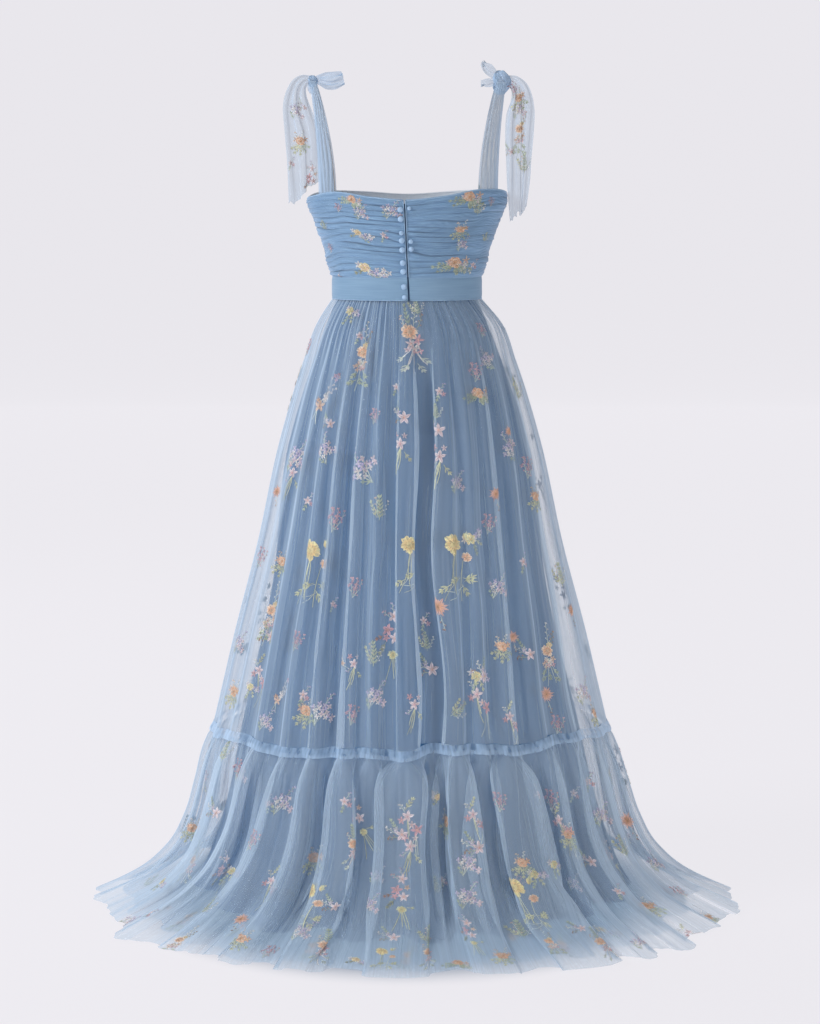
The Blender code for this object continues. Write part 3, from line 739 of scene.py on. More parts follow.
LOWER_FOLDS = table(
    Fold,
    (-90.0, -90.0, 0.7, 0.0, 0.3), (-76.0, -80.0, 0.9, 0.5, 0.2, 0.006, -0.066),
    (-63.0, -69.0, 0.8, 0.9, 0.1, -0.008, -0.06), (-49.0, -57.0, 1.1, 0.7, 0.4, 0.026, -0.05),
    (-37.0, -44.0, 0.7, 1.2, 0.0, 0.0, -0.03), (-28.5, -33.0, 1.1, 1.0, 0.3, -0.016, -0.02),
    (-19.5, -21.5, 1.2, 1.3, 0.9, -0.016, -0.006, -0.4, 0.002),
    (-2.5, -3.0, 1.6, 1.8, 1.9, -0.008, 0.0, 1.6, 0.005),
    (13.6, 14.4, 1.5, 1.6, 1.5, 0.002, 0.006, -1.0, 0.004),
    (27.4, 29.4, 1.2, 1.7, 1.8, 0.024, 0.0, 2.2, 0.005), (41.5, 41.0, 0.8, 0.3, 1.2, 0.026, -0.014),
    (51.0, 50.0, 1.0, 0.1, 0.8, 0.036, -0.03), (62.0, 61.0, 0.7, 0.2, 1.1, 0.024, -0.056),
    (75.0, 75.0, 0.7, 0.2, 0.5, 0.028, -0.082), (90.0, 90.0, 0.8, 0.3, 0.0, 0.004, 0.004),
)
UNDER_FOLDS = table(
    Fold,
    (-90.0, -90.0, 0.8, 0.0, 0.2), (-69.0, -70.0, 0.9, 0.8, 0.9), (-53.0, -56.0, 1.0, 0.3, 1.0),
    (-43.0, -47.0, 0.8, 1.2, 0.2), (-29.0, -32.0, 1.1, 0.4, 1.1), (-11.0, -12.0, 0.9, 1.2, 0.3),
    (3.0, 2.0, 1.0, 0.2, 1.0), (22.0, 20.0, 0.9, 1.2, 0.9), (34.0, 33.0, 1.1, 0.4, 0.9),
    (45.0, 44.0, 0.9, 0.9, 0.2), (55.0, 54.0, 1.0, 0.2, 1.1), (72.0, 70.0, 0.9, 0.7, 0.6),
    (90.0, 90.0, 0.8, 0.2, 0.0),
)
LINING_FOLDS = table(
    Fold,
    (-90.0, -90.0, 1.0, 0.0, 0.0), (-66.0, -62.0, 0.8, 0.0, 0.0), (-40.0, -38.0, 1.2, 0.3, 0.3),
    (-18.0, -16.0, 0.8, 0.0, 0.0), (4.0, 5.0, 1.3, 0.3, 0.3), (27.0, 29.0, 0.8, 0.0, 0.0),
    (52.0, 54.0, 1.2, 0.3, 0.3), (72.0, 73.0, 0.8, 0.0, 0.0), (90.0, 90.0, 1.0, 0.0, 0.0),
)
UPPER_WAVES = table(
    Wave,
    (0.0, 0.001, 0.001), (-0.03, 0.0022, 0.0018), (-0.08, 0.0042, 0.0024), (-0.16, 0.0066, 0.0028),
    (-0.3, 0.0095, 0.004), (-0.52, 0.0115, 0.0055), (-0.757, 0.009, 0.0055),
)
LOWER_WAVES = table(
    Wave,
    (-0.757, 0.005, 0.0035), (-0.8, 0.012, 0.007), (-0.86, 0.016, 0.009), (-0.98, 0.018, 0.012),
    (-1.06, 0.013, 0.012),
)
UNDER_WAVES = table(
    Wave,
    (-0.757, 0.002, 0.002), (-0.86, 0.007, 0.006), (-0.98, 0.011, 0.01), (-1.06, 0.017, 0.016),
)
LINING_WAVES = table(
    Wave,
    (0.0, 0.0004, 0.0004), (-0.26, 0.0016, 0.001), (-0.75, 0.004, 0.0036), (-0.95, 0.012, 0.01),
    (-1.05, 0.026, 0.02),
)


@dataclass(frozen=True)
class Ripples:
    """Small folds that lie on the main ones.

    per_fold is how many there are to a main fold. Their height runs from at_top to at_foot over
    the length run, and they come and go every fade metres. crease is how sharp their valleys are,
    from 0 to 1, and from a lap of 1 their edges fold over. The lap runs to foot_lap over the run.
    """

    per_fold: float
    at_top: float
    at_foot: float
    run: float
    fade: float
    crease: float
    lap: float
    foot_lap: float
    seed: int


@dataclass(frozen=True)
class SeamLine:
    """How far the tiers' seam lies inside its outline, at each angle round the half it belongs to."""

    angles: Grid
    inward: Grid

    def read(self, angles: Grid) -> Grid:
        """How far in the seam lies at the given angles."""
        return np.interp(angles, self.angles, self.inward)


@dataclass(frozen=True)
class GatheredTier:
    """Half of a gathered tier of cloth, back or front, between two heights."""

    outline: Outline
    folds: tuple[Fold, ...]
    waves: tuple[Wave, ...]
    top: float
    foot: float
    is_front: bool
    rows: int
    columns: int
    ripples: tuple[Ripples, ...] = ()
    merge_length: float = 0.16
    starts_lapped: float = 0.0
    top_lap: float = 0.0
    sewn_foot: float = 0.0
    gather: float = 1.0
    hem_lift: float = 0.0
    hem_wander: float = 0.0
    hem_opens: float = 0.0
    foot_rest: float = 0.0
    drift: float = 0.08
    seed: int = 1
    hangs_from: SeamLine | None = None
    full_lap: float = 1.05
    seam_reach: float = 90.0 * MM
    seam_tuck: float = 1.6 * MM
    thickness: float = 0.6 * MM

    def each(self, measure: str) -> Grid:
        """One measure of every fold."""
        return np.array([getattr(f, measure) for f in self.folds])

    def heights(self) -> Grid:
        """Heights of the rows, evenly spaced along the cloth rather than up the air."""
        fine = np.linspace(self.top, self.foot, 400)
        depth = self.outline.read("back_depth", fine)
        length = np.concatenate([[0.0], np.cumsum(np.hypot(np.diff(fine), np.diff(depth)))])
        return np.interp(np.linspace(0.0, length[-1], self.rows), length, fine)[:, None]

    def angles(self, k: Grid, heights: Grid) -> Grid:
        """Angles round the body of the places k: ridges lie on whole k, valleys between them."""
        places = np.arange(2 * len(self.folds) - 1) / 2
        ends = []
        for end in ("top", "foot"):
            ridges = self.each(end)
            valleys = (ridges[1:] + ridges[:-1]) / 2 + self.each("lean")[:-1]
            both = np.stack([ridges, np.append(valleys, 0.0)], axis=1).ravel()[:-1]
            ends.append(smooth(k, places, both))
        fall = (self.top - heights) / (self.top - self.foot)
        return ends[0] + (ends[1] - ends[0]) * fall

    def size(self, heights: Grid, angles: Grid) -> Grid:
        """Half the height of the main folds."""
        ordered = sorted(self.waves, key=lambda w: w.height)
        middle = smooth(heights, [w.height for w in ordered], [w.middle for w in ordered])
        side = smooth(heights, [w.height for w in ordered], [w.side for w in ordered])
        return side + (middle - side) * np.cos(np.radians(angles)) ** 2

    def valley(self, k: Grid) -> Grid:
        """How deep the cloth lies at the places k: 0 on a ridge, twice its depth in a valley."""
        number = np.minimum(k.astype(int), len(self.folds) - 2)
        wave = 2.0 * np.abs(np.sin(pi * (k - number))) ** 2.4
        return self.each("depth")[number] * wave

    def seam_line(self) -> SeamLine:
        """The line of the tier's foot."""
        k = np.linspace(0.0, len(self.folds) - 1, 400)
        angles = self.angles(k, np.full_like(k, self.foot))
        return SeamLine(angles, self.size(np.full_like(k, self.foot), angles) * self.valley(k))

    def cloth(self) -> Cloth:
        """Work out the grid.

        Returns:
            The cloth. A place k counts main folds from the left side seam. A ridge lies on each
            whole k, on the outline, and the valley between lies inside it by twice the wave. The
            cloth also moves along the outline by the sine of twice its turn, so that a ridge's
            edges lap over the valleys and their walls tuck in behind. Where the lap is over 1, a
            sine of its turn widens the ridge and narrows the valley. At the top each fold starts
            as two gathers, and ripples are added on top. The whole is raised where the seam rises.
        """
        heights = self.heights()
        count = len(self.folds) - 1
        k = np.linspace(0.0, count, self.columns)[None, :]
        number = np.minimum(k.astype(int), count - 1)
        t = k - number
        fall = (self.top - heights) / (self.top - self.foot)
        drop = self.top - heights
        edge = step_up(k, 0.0, 0.5) * step_up(count - k, 0.0, 0.5)

        moved = k + self.drift * wander(k * 0.8, heights / 0.22, self.seed) * edge * step_up(fall, 0.0, 0.5)
        angles = self.angles(moved, heights)
        turn = np.radians(angles)
        half_width, depth = self.outline.read("half_width", heights), self.outline.read("back_depth", heights)
        radius = np.hypot(half_width * np.cos(turn), depth * np.sin(turn))
        spacing = radius * np.radians(np.gradient(angles, axis=1) / (k[0, 1] - k[0, 0]))

        size = self.size(heights, angles)
        merged = step_up(drop, 0.0, self.merge_length)
        fuller = 1.0 - (1.0 - np.clip(drop / self.merge_length, 0.0, 1.0)) ** 3
        merged = merged + self.starts_lapped * (fuller - merged)
        inward = size * merged * self.valley(k)
        inward = inward + self.gather * size * (1 - merged) * 2.0 * np.abs(np.sin(2 * pi * t)) ** 1.4
        if self.hangs_from is not None:
            inward = inward + self.hangs_from.read(angles) * (1.0 - step_up(drop, 0.0, self.seam_reach))
            inward = inward + self.seam_tuck * (1.0 - step_up(drop, 0.002, 0.012))
        puff = np.where(t < 0.5, self.each("puff")[number], self.each("puff")[number + 1])
        puff = puff * np.cos(pi * t) ** 2
        inward = inward - puff * step_up(drop, -0.005, 0.045) * (1.0 - step_up(drop, 0.06, 0.22))

        lap = np.where(t < 0.5, self.each("right_lap")[number], self.each("left_lap")[number + 1])
        strength = 0.85 + 0.35 * wander(k * 0.9 + 7.0, heights / 0.25, self.seed + 1)
        lapped = self.top_lap + (1.0 - self.top_lap) * merged
        lapped = lapped * (1.0 - self.hem_opens * step_up(fall, 0.72, 1.0))
        widened = 0.9 * np.clip(lap - self.full_lap, 0.0, 0.9) * np.sin(2 * pi * t)
        sideways = np.minimum(lap, self.full_lap) * np.sin(4 * pi * t) + widened
        sideways = sideways * spacing / (2 * pi) * lapped * strength * edge
        for ripple in self.ripples:
            more_inward, more_sideways = self.ripple(ripple, k, heights, edge, spacing)
            inward, sideways = inward + more_inward, sideways + more_sideways

        reach = self.each("front_reach" if self.is_front else "back_reach")
        reach = smooth(k, np.arange(count + 1), reach) * fall ** 4
        hem = (wander(k * 2.6, 0.0 * heights + 0.5, self.seed + 5)
               + 0.50 * wander(k * 7.0, 0.0 * heights, self.seed + 6)
               + 0.12 * wander(k * 17.0, 0.0 * heights, self.seed + 7))
        outward = reach + self.hem_wander * hem * fall ** 10 * edge - inward
        lift = self.hem_lift * step_up(fall, 0.80, 1.0) * edge
        lift = lift * (0.35 + 0.5 * wander(k * 1.1, 0.0 * heights + 0.3, self.seed + 9)
                       + 0.35 * wander(k * 4.3, 0.0 * heights + 0.3, self.seed + 10))
        rise = seam_rise(angles, heights)
        if self.is_front:
            angles, outward = 180.0 - angles[:, ::-1], outward[:, ::-1]
            sideways, lift, rise = -sideways[:, ::-1], lift[:, ::-1], rise[:, ::-1]
        points = self.outline.ring(heights, angles, outward, sideways)
        points[..., 2] += np.maximum(lift, 0.0) + rise + self.foot_rest * fall ** 8
        points[..., 2] = np.maximum(points[..., 2], FLOOR + self.thickness)
        return Cloth(points)

    def ripple(self, ripple: Ripples, k: Grid, heights: Grid, edge: Grid,
               spacing: Grid) -> tuple[Grid, Grid]:
        """Work out one family of ripples.

        Args:
            ripple: the family.
            k: places in main folds.
            heights: the rows' heights.
            edge: 0 at the side seams and 1 elsewhere.
            spacing: the width of a main fold at each place, in metres.

        Returns:
            How far the cloth moves inward and sideways: a cosine made sharp in its valleys, and a
            sine of twice its turn. Both come and go along the cloth.
        """
        turn = k * ripple.per_fold + 0.6 * wander(k * 1.3, heights / 0.18, ripple.seed)
        live = 0.42 + 0.85 * wander(k * 1.7 + 3.0, heights / ripple.fade, ripple.seed + 1)
        live = np.clip(live, 0.0, 1.15)
        run = step_up(self.top - heights, 0.0, ripple.run)
        tall = (ripple.at_top + (ripple.at_foot - ripple.at_top) * run) * (0.15 + live) * edge
        soft = 0.5 - 0.5 * np.cos(2 * pi * turn)
        sharp = 1.0 - np.abs(np.cos(pi * turn))
        share = step_up(self.top - heights, 0.0, 0.03)
        sewn = 1.0 - self.sewn_foot * step_up(heights, self.foot + 0.030, self.foot)
        lap = ripple.lap + (ripple.foot_lap - ripple.lap) * run
        sway = lap * live * share * edge * spacing / ripple.per_fold / (4 * pi)
        inward = sewn * tall * (soft + (sharp - soft) * ripple.crease)
        return inward, sewn * sway * np.sin(4 * pi * turn)


class GownCloths(dict[str, Cloth]):
    """The cloths that carry embroidery, by the name of the node that each stands for."""


@dataclass
class Skirts:
    """The sheer upper tier, the sheer lower tier and the opaque underskirt."""

    finishes: Finishes
    cloths: GownCloths

    UPPER_RIPPLES = (
        Ripples(3.3, 2.6 * MM, 0.3 * MM, 0.15, 0.25, 0.7, 0.8, 0.12, 11),
        Ripples(1.7, 0.6 * MM, 1.3 * MM, 0.25, 0.45, 0.1, 0.3, 0.45, 21),
        Ripples(5.3, 1.3 * MM, 0.15 * MM, 0.12, 0.20, 0.5, 0.5, 0.1, 31),
    )
    LOWER_RIPPLES = (
        Ripples(6.0, 4.0 * MM, 0.5 * MM, 0.13, 0.12, 0.8, 1.0, 0.30, 41),
        Ripples(2.0, 1.0 * MM, 5.0 * MM, 0.16, 0.22, 0.2, 0.2, 0.8, 51),
        Ripples(3.7, 0.8 * MM, 2.6 * MM, 0.16, 0.12, 0.2, 0.5, 0.7, 61),
    )
    UNDER_RIPPLES = (
        Ripples(4.0, 2.4 * MM, 1.0 * MM, 0.10, 0.12, 0.6, 0.5, 0.8, 81),
        Ripples(2.3, 1.0 * MM, 4.0 * MM, 0.16, 0.18, 0.2, 0.2, 1.1, 91),
    )
    LINING_RIPPLES = (Ripples(2.3, 0.2 * MM, 3.5 * MM, 0.9, 0.5, 0.0, 0.3, 0.3, 71),)

    def build(self) -> dict[str, SeamLine]:
        """Build both halves of each tier.

        Returns:
            The line of the seam between the tiers, behind and in front.
        """
        seams = {}
        for side, is_front in (("back", False), ("front", True)):
            seed, share = (200, 0.72) if is_front else (100, 1.0)
            upper = GatheredTier(
                UPPER_OUTLINE, UPPER_FOLDS, UPPER_WAVES, -0.3 * MM, TIER_SEAM, is_front,
                rows=int(105 * share), columns=int(560 * share), ripples=self.UPPER_RIPPLES, gather=0.6,
                sewn_foot=1.0, drift=0.13, seed=seed)
            seams[side] = upper.seam_line()
            ruffle = GatheredTier(
                LOWER_OUTLINE, LOWER_FOLDS, LOWER_WAVES, RUFFLE_TOP, FLOOR, is_front,
                rows=int(88 * share), columns=int(620 * share), ripples=self.LOWER_RIPPLES,
                merge_length=0.075, starts_lapped=1.0, top_lap=-0.15, gather=0.5, hem_lift=0.011,
                hem_wander=0.010, hem_opens=0.55, foot_rest=1.6 * MM, drift=0.12, seed=seed + 40,
                hangs_from=seams[side])
            under = GatheredTier(
                UNDER_LAYER_OUTLINE, UNDER_FOLDS, UNDER_WAVES, RUFFLE_TOP, FLOOR, is_front,
                rows=int(52 * share), columns=int(340 * share), ripples=self.UNDER_RIPPLES,
                merge_length=0.06, gather=0.4, hem_lift=0.008, hem_wander=0.012, hem_opens=0.4,
                foot_rest=0.4 * MM, drift=0.12, seed=seed + 60, hangs_from=seams[side])
            lining = GatheredTier(
                UNDERSKIRT_OUTLINE, LINING_FOLDS, LINING_WAVES, -0.3 * MM, LINING_FOOT, is_front,
                rows=60, columns=110, ripples=self.LINING_RIPPLES, merge_length=0.05, gather=0.0,
                hem_wander=0.022, hem_lift=0.010, seed=seed + 80)
            net, finishes = "skirt_tulle", self.finishes
            self.add(f"skirt_{side}_cloth", net, finishes.upper_net, (1.10, 0.80), upper, f"skirt_{side}")
            self.add(f"ruffle_{side}_cloth", net, finishes.lower_net, (1.85, 0.43), ruffle, f"ruffle_{side}")
            self.add(f"ruffle_{side}_under_layer", net, finishes.under_net, (1.60, 0.40), under)
            self.add(f"lining_{side}_cloth", "underskirt", finishes.lining, (0.80, 1.12), lining,
                     f"lining_{side}")
        return seams

    def add(self, name: str, slot: str, material: bpy.types.Material, flat: tuple[float, float],
            tier: GatheredTier, *nodes: str) -> None:
        """Make one half and log its area beside its cut size."""
        cloth = tier.cloth()
        piece = settle(cloth.to_object(name, material), slot, *nodes)
        log.info("%s: area %.3f of %.3f", piece.name, cloth.area, flat[0] * flat[1])
        self.cloths[name] = cloth


@dataclass
class TierBands:
    """The narrow band of net that joins the tiers, puckered by the gathers sewn into it."""

    finishes: Finishes
    seams: dict[str, SeamLine]
    inset: float = -0.4 * MM
    pucker: float = 1.5 * MM
    puckers: int = 46
    swell: float = 1.0 * MM
    ragged: float = 0.8 * MM
    rows: int = 10
    columns: int = 380

    def build(self) -> None:
        """Build both halves.

        The band follows the folds of the tier above it. Along it the puckers are cosines with
        wandering places, tall in the middle and at times right across it. Its edges wander too,
        and it swells between them.
        """
        for side, start in (("back", -90.0), ("front", 90.0)):
            share, u = shares(self.rows, self.columns)
            own = -90.0 + 180.0 * (u if side == "back" else 1.0 - u) + 0.0 * share
            turn = u * self.puckers + 1.6 * wander(u * 14, share * 1.2, 301)
            crimp = (0.5 + 0.5 * np.cos(2 * pi * turn)) * (0.45 + 0.6 * wander(u * 26, share * 2, 302))
            swell = self.swell * (1.0 - (2 * share - 1) ** 2)
            outward = swell + self.pucker * crimp * (0.35 + 0.65 * np.sin(pi * share)) - self.inset
            outward = outward - self.seams[side].read(own)
            heights = TIER_BAND_TOP + (TIER_BAND_FOOT - TIER_BAND_TOP) * share
            ragged = wander(u * 60, 3.0 * share, 303) + wander(u * 12, 0.0 * share, 304)
            angles = start + 180.0 * u + 0.0 * share
            points = LOWER_OUTLINE.ring(heights + self.ragged * ragged, angles, outward)
            points[..., 2] += seam_rise(own, heights)
            cloth = Cloth(points)
            piece = settle(cloth.to_object(f"tier_band_{side}_net", self.finishes.band_net), "tier_band",
                           f"tier_band_{side}")


# ---- Bodice ----


def slit_place(heights: Grid) -> Grid:
    """Sideways place of the opening's middle at each height: it leans to the left as it rises."""
    return 0.0035 - 0.046 * np.asarray(heights, float)


def slit_angle(outline: Outline, heights: Grid, sideways: float) -> Grid:
    """The angle whose point lies the given distance to the right of the opening's middle."""
    return np.degrees(np.arcsin((slit_place(heights) + sideways) / outline.read("half_width", heights)))


def half_angles(edge: Grid, side: int, u: Grid) -> Grid:
    """Angles of a back half from left to right, between the opening's edge and its side seam."""
    return edge + (side * 90.0 - edge) * (u if side > 0 else 1.0 - u)


def roll(path: Grid, radius: float, sides: int = 8) -> tuple[Grid, Grid, Grid]:
    """Carry a round profile along a path.

    Args:
        path: the path's points in order.
        radius: the roll's radius.
        sides: points round the profile.

    Returns:
        Points, faces and UV places. At each point the ring is spanned by the path's direction
        crossed with up, and by that crossed with the direction again. The ends are drawn shut.
    """
    forward = np.gradient(path, axis=0)
    forward /= np.linalg.norm(forward, axis=1, keepdims=True)
    out = np.cross(forward, [0.0, 0.0, 1.0])
    out /= np.maximum(np.linalg.norm(out, axis=1, keepdims=True), 1e-9)
    over = np.cross(out, forward)
    turn = np.linspace(0.0, 2 * pi, sides, endpoint=False)[None, :, None]
    size = np.full(len(path), radius)
    size[[0, -1]] *= 0.05
    ring = np.cos(turn) * out[:, None] + np.sin(turn) * over[:, None]
    points = path[:, None] + size[:, None, None] * ring
    row = np.arange(len(path) - 1)[:, None] * sides
    side, after = np.arange(sides), (np.arange(sides) + 1) % sides
    faces = np.stack([row + side, row + after, row + sides + after, row + sides + side], axis=-1)
    faces = faces.reshape(-1, 4)
    length = np.concatenate([[0.0], np.cumsum(np.linalg.norm(np.diff(path, axis=0), axis=1))])
    uv = np.stack(np.broadcast_arrays(length[:, None], (side * MM)[None, :]), axis=-1).reshape(-1, 2)
    return points.reshape(-1, 3), faces, uv


@dataclass
class Bodice:
    """The ruched bodice: two back panels parted by the opening, a front, and what lines them."""

    finishes: Finishes
    cloths: GownCloths
    pleats: int = 14
    rise: float = 2.3 * MM
    lean: float = 1.8 * MM
    fine_rise: float = 0.6 * MM
    slit_half_width: float = 1.5 * MM
    rows: int = 150
    back_columns: int = 90
    front_columns: int = 120
    depth: float = 1.9 * MM
    binding_radius: float = 1.5 * MM
    painted_crease_shade: float = 0.58

    def build(self) -> None:
        """Build the panels, their backing and their bindings."""
        middle = np.full((1, 1), 0.1)
        share, u = shares(self.rows, self.back_columns)
        for side, name in ((-1, "left"), (1, "right")):
            edge = slit_angle(BODICE_OUTLINE, middle, side * self.slit_half_width)
            heights = self.fall(half_angles(edge, side, u), share)
            edge = slit_angle(BODICE_OUTLINE, heights, side * self.slit_half_width)
            angles = half_angles(edge, side, u)
            self.add_panel(f"bodice_back_{name}", angles, share, 20 + side)
        angles = np.linspace(90.0, 270.0, self.front_columns)[None, :] + 0.0 * share
        self.add_panel("bodice_front", angles, share, 40)

    def fall(self, angles: Grid, share: Grid) -> Grid:
        """Heights between the neckline and the waistband, at each share of the way down."""
        return BODICE_FOOT + (neck_height(angles) - BODICE_FOOT) * (1.0 - share)

    def add_panel(self, node: str, angles: Grid, share: Grid, seed: int) -> None:
        """Make one ruched panel with its backing and its rolled upper edge.

        The panel rises in rolls with sharp creases between them: a roll's height is one less the
        distance from its middle to the power 2.4. The rolls wander, lean down over the crease
        below and flatten at the sewn edges, and finer pulls run across them.
        """
        u = np.linspace(0.0, 1.0, angles.shape[1])[None, :]
        place = self.pleats * share + 1.25 * wander(u * 1.9, share * 3.2, seed) * np.sin(pi * share)
        place = place + 0.42 * wander(u * 5.0, share * 8.0, seed + 1) * np.sin(pi * share)
        part = place - np.floor(place)
        bulge = 1.0 - np.abs(2.0 * part - 1.0) ** 2.4
        live = np.clip(0.62 + 0.75 * wander(u * 3.2, place * 0.8, seed + 2), 0.12, 1.2)
        ends = 0.35 + 0.65 * step_up(u, 0.0, 0.05) * step_up(1.0 - u, 0.0, 0.05)
        held = step_up(share, 0.0, 0.03) * step_up(1.0 - share, 0.0, 0.03)
        size = live * ends * held
        pulls = 2.6 * place + 1.5 * wander(u * 6.0, share * 8.0, seed + 3)
        fine = self.fine_rise * np.sin(2 * pi * pulls)
        outward = self.rise * bulge * size + fine * held
        heights = self.fall(angles, share) - self.lean * bulge * size
        cloth = Cloth(BODICE_OUTLINE.ring(heights, angles, outward))
        # painted shade: darker in the creases between the rolls, with a little random tone, passed on as the
        # attribute "thread"
        deep = np.exp(-(part / 0.10) ** 2) + np.exp(-((1.0 - part) / 0.08) ** 2)
        shade = 1.0 - self.painted_crease_shade * np.clip(deep, 0.0, 1.0) * np.clip(size, 0.0, 1.0)
        shade = shade * (1.0 + 0.10 * wander(u * 5.0, place * 3.1, seed + 4))
        piece = cloth.to_object(f"{node}_ruching", self.finishes.ruched, shade)
        settle(piece, "ruched_tulle", node)
        self.cloths[piece.name] = cloth
        few_rows, few_columns = slice(None, None, 6), slice(None, None, 3)
        backing = BODICE_OUTLINE.ring(self.fall(angles, share), angles, -self.depth)[few_rows, few_columns]
        backing = Cloth(np.ascontiguousarray(backing[:, ::-1]))
        piece = settle(backing.to_object(f"{node}_backing", self.finishes.backing), "ruched_tulle")
        neck = BODICE_OUTLINE.ring(neck_height(angles[0]), angles[0], -0.5 * self.depth)
        points, faces, uv = roll(neck, self.binding_radius)
        edging = self.finishes.backing if node == "bodice_front" else self.finishes.binding
        settle(make_object(f"{node}_binding", points, faces, edging, uv), "ruched_tulle")


@dataclass
class Waistband:
    """The plain waistband, slightly crowned, with a fine seam line along both edges."""

    finishes: Finishes
    crown: float = 1.1 * MM
    seam_radius: float = 0.9 * MM
    slit_half_width: float = 1.5 * MM
    rows: int = 22
    back_columns: int = 70
    front_columns: int = 120

    def build(self) -> None:
        """Build the two backs and the front."""
        share, u = shares(self.rows, self.back_columns)
        for side, name in ((-1, "back_left"), (1, "back_right")):
            edge = slit_angle(WAISTBAND_OUTLINE, BAND_TOP * (1.0 - share), side * self.slit_half_width)
            self.add(name, half_angles(edge, side, u), share, (0.175, 0.040))
        angles = np.linspace(90.0, 270.0, self.front_columns)[None, :] + 0.0 * share
        self.add("front", angles, share, (0.36, 0.040))

    def add(self, name: str, angles: Grid, share: Grid, flat: tuple[float, float]) -> None:
        """Make one stretch: its crown is one less the fourth power of the place across it."""
        crown = self.crown * (1.0 - (2.0 * share - 1.0) ** 4)
        soft = 0.35 * MM * wander(angles / 9.0, share * 2.2, 77)
        pull = 0.4 * MM * step_up(share, 0.75, 1.0) * np.cos(2 * pi * angles / 5.5)
        outward = crown + soft * np.sin(pi * share) + pull
        heights = BAND_TOP * (1.0 - share)
        cloth = Cloth(WAISTBAND_OUTLINE.ring(heights, angles, outward))
        piece = settle(cloth.to_object(f"waistband_{name}_net", self.finishes.waistband), "waistband",
                       f"waistband_{name}")
        backing = Cloth(np.ascontiguousarray(WAISTBAND_OUTLINE.ring(heights, angles, -1.9 * MM)[::3, ::-2]))
        piece = settle(backing.to_object(f"waistband_{name}_backing", self.finishes.backing), "waistband")
        for row, place in ((0, "top"), (-1, "foot")):
            points, faces, uv = roll(cloth.points[row], self.seam_radius, 6)
            settle(make_object(f"waistband_{name}_{place}_seam", points, faces, self.finishes.binding, uv),
                   "waistband")


@dataclass(frozen=True)
class ButtonPlace:
    """A covered button: the node it stands for, its side of the opening, its height and its scale."""

    name: str
    side: int
    height: float
    scale: float


BUTTONS = table(
    ButtonPlace,
    ("left_1", -1, 0.156, 1.0), ("left_2", -1, 0.14, 1.0), ("left_3", -1, 0.116, 0.8),
    ("left_4", -1, 0.103, 1.0), ("left_5", -1, 0.087, 1.0), ("left_6", -1, 0.065, 1.0),
    ("left_7", -1, 0.05, 1.0), ("left_8", -1, 0.024, 1.0), ("left_9", -1, 0.006, 0.9),
    ("right_1", 1, 0.158, 0.7), ("right_2", 1, 0.1015, 0.8), ("right_3", 1, 0.0885, 0.9),
)


@dataclass
class Opening:
    """The centre-back opening: covered buttons, the piping on its right edge and the strip behind it."""

    finishes: Finishes
    frame: dict
    radius: float = 5.0 * MM
    half_thickness: float = 2.4 * MM
    setback: float = 7.5 * MM
    pleat_rise: float = 2.4 * MM
    sides: int = 28
    piping_radius: float = 0.9 * MM
    piping_offset: float = 1.8 * MM
    piping_top: float = 0.171

    def build(self) -> None:
        """Build the buttons and the piping, and dress the strip."""
        for button in BUTTONS:
            self.add_button(button)
        for side, name in ((-1, "left"), (1, "right")):
            heights = np.linspace(self.piping_top, BODICE_FOOT, 60)
            angles = slit_angle(BODICE_OUTLINE, heights, side * self.piping_offset)
            points, faces, uv = roll(BODICE_OUTLINE.ring(heights, angles, 1.0 * MM), self.piping_radius)
            piping = make_object(f"opening_piping_{name}", points, faces, self.finishes.binding, uv)
            settle(piping, "ruched_tulle")
        strip = self.frame["nodes"]["button_stand"]
        strip.data.materials.clear()
        strip.data.materials.append(self.finishes.stand)

    def add_button(self, button: ButtonPlace) -> None:
        """A low dome turned about its axis, with the satin puckered towards its rim.

        The profile is a quarter of an oval in front and a shallow one behind. The puckers grow
        with the distance from the middle.
        """
        outline = WAISTBAND_OUTLINE if button.height < BAND_TOP else BODICE_OUTLINE
        angle = slit_angle(outline, np.array(button.height), button.side * self.setback)
        thickness = self.half_thickness * button.scale
        rise = (self.pleat_rise if outline is BODICE_OUTLINE else 0.8 * MM) + thickness + 0.3 * MM
        place = outline.ring(np.array(button.height), angle, rise)
        turn = np.linspace(0.0, 2 * pi, self.sides, endpoint=False)[None, :]
        climb = np.linspace(-0.5, 0.5, 15)[:, None] * pi
        pucker = 1.0 + 0.025 * np.cos(9 * turn) * np.cos(climb) ** 4
        radius = self.radius * button.scale * np.cos(climb) * pucker
        radius[[0, -1]] = self.radius * 0.004
        ahead = np.where(climb > 0, 1.25, 0.8) * thickness * np.sin(climb) + 0.0 * turn
        right = np.array([cos(radians(float(angle))), sin(radians(float(angle))), 0.0])
        out = np.array([right[1], -right[0], 0.0])
        points = (place + (radius * np.cos(turn))[..., None] * right + ahead[..., None] * out
                  + (radius * np.sin(turn))[..., None] * np.array([0.0, 0.0, 1.0]))
        points = np.concatenate([points, points[:, :1]], axis=1)
        piece = Cloth(points[::-1]).to_object(f"covered_{button.name}", self.finishes.button)
        settle(piece, "covered_button", f"button_{button.name}")


# ---- Shoulder ties ----


@dataclass(frozen=True)
class Knot:
    """A shoulder knot: its centre and half its size."""

    side: str
    centre: Triple
    half_size: Triple


@dataclass(frozen=True)
class Strap:
    """A strap: its node, its knot, where it leaves the neckline, its width above and its arch."""

    node: str
    knot: int
    angles: tuple[float, float]
    top_width: float
    rise: float
    reach: float


@dataclass(frozen=True)
class Station:
    """A place along a loose end: its middle, its width and its tilt about the line of sight."""

    x: float
    y: float
    z: float
    width: float
    tilt: float


@dataclass(frozen=True)
class LooseEnd:
    """A tie's loose end: its name, its nodes, its stations, how it is cut and whether it is bunched."""

    name: str
    nodes: tuple[str, ...]
    stations: tuple[Station, ...]
    slant: float
    flat: tuple[float, float]
    pleats: float
    is_dense: bool
    seed: int


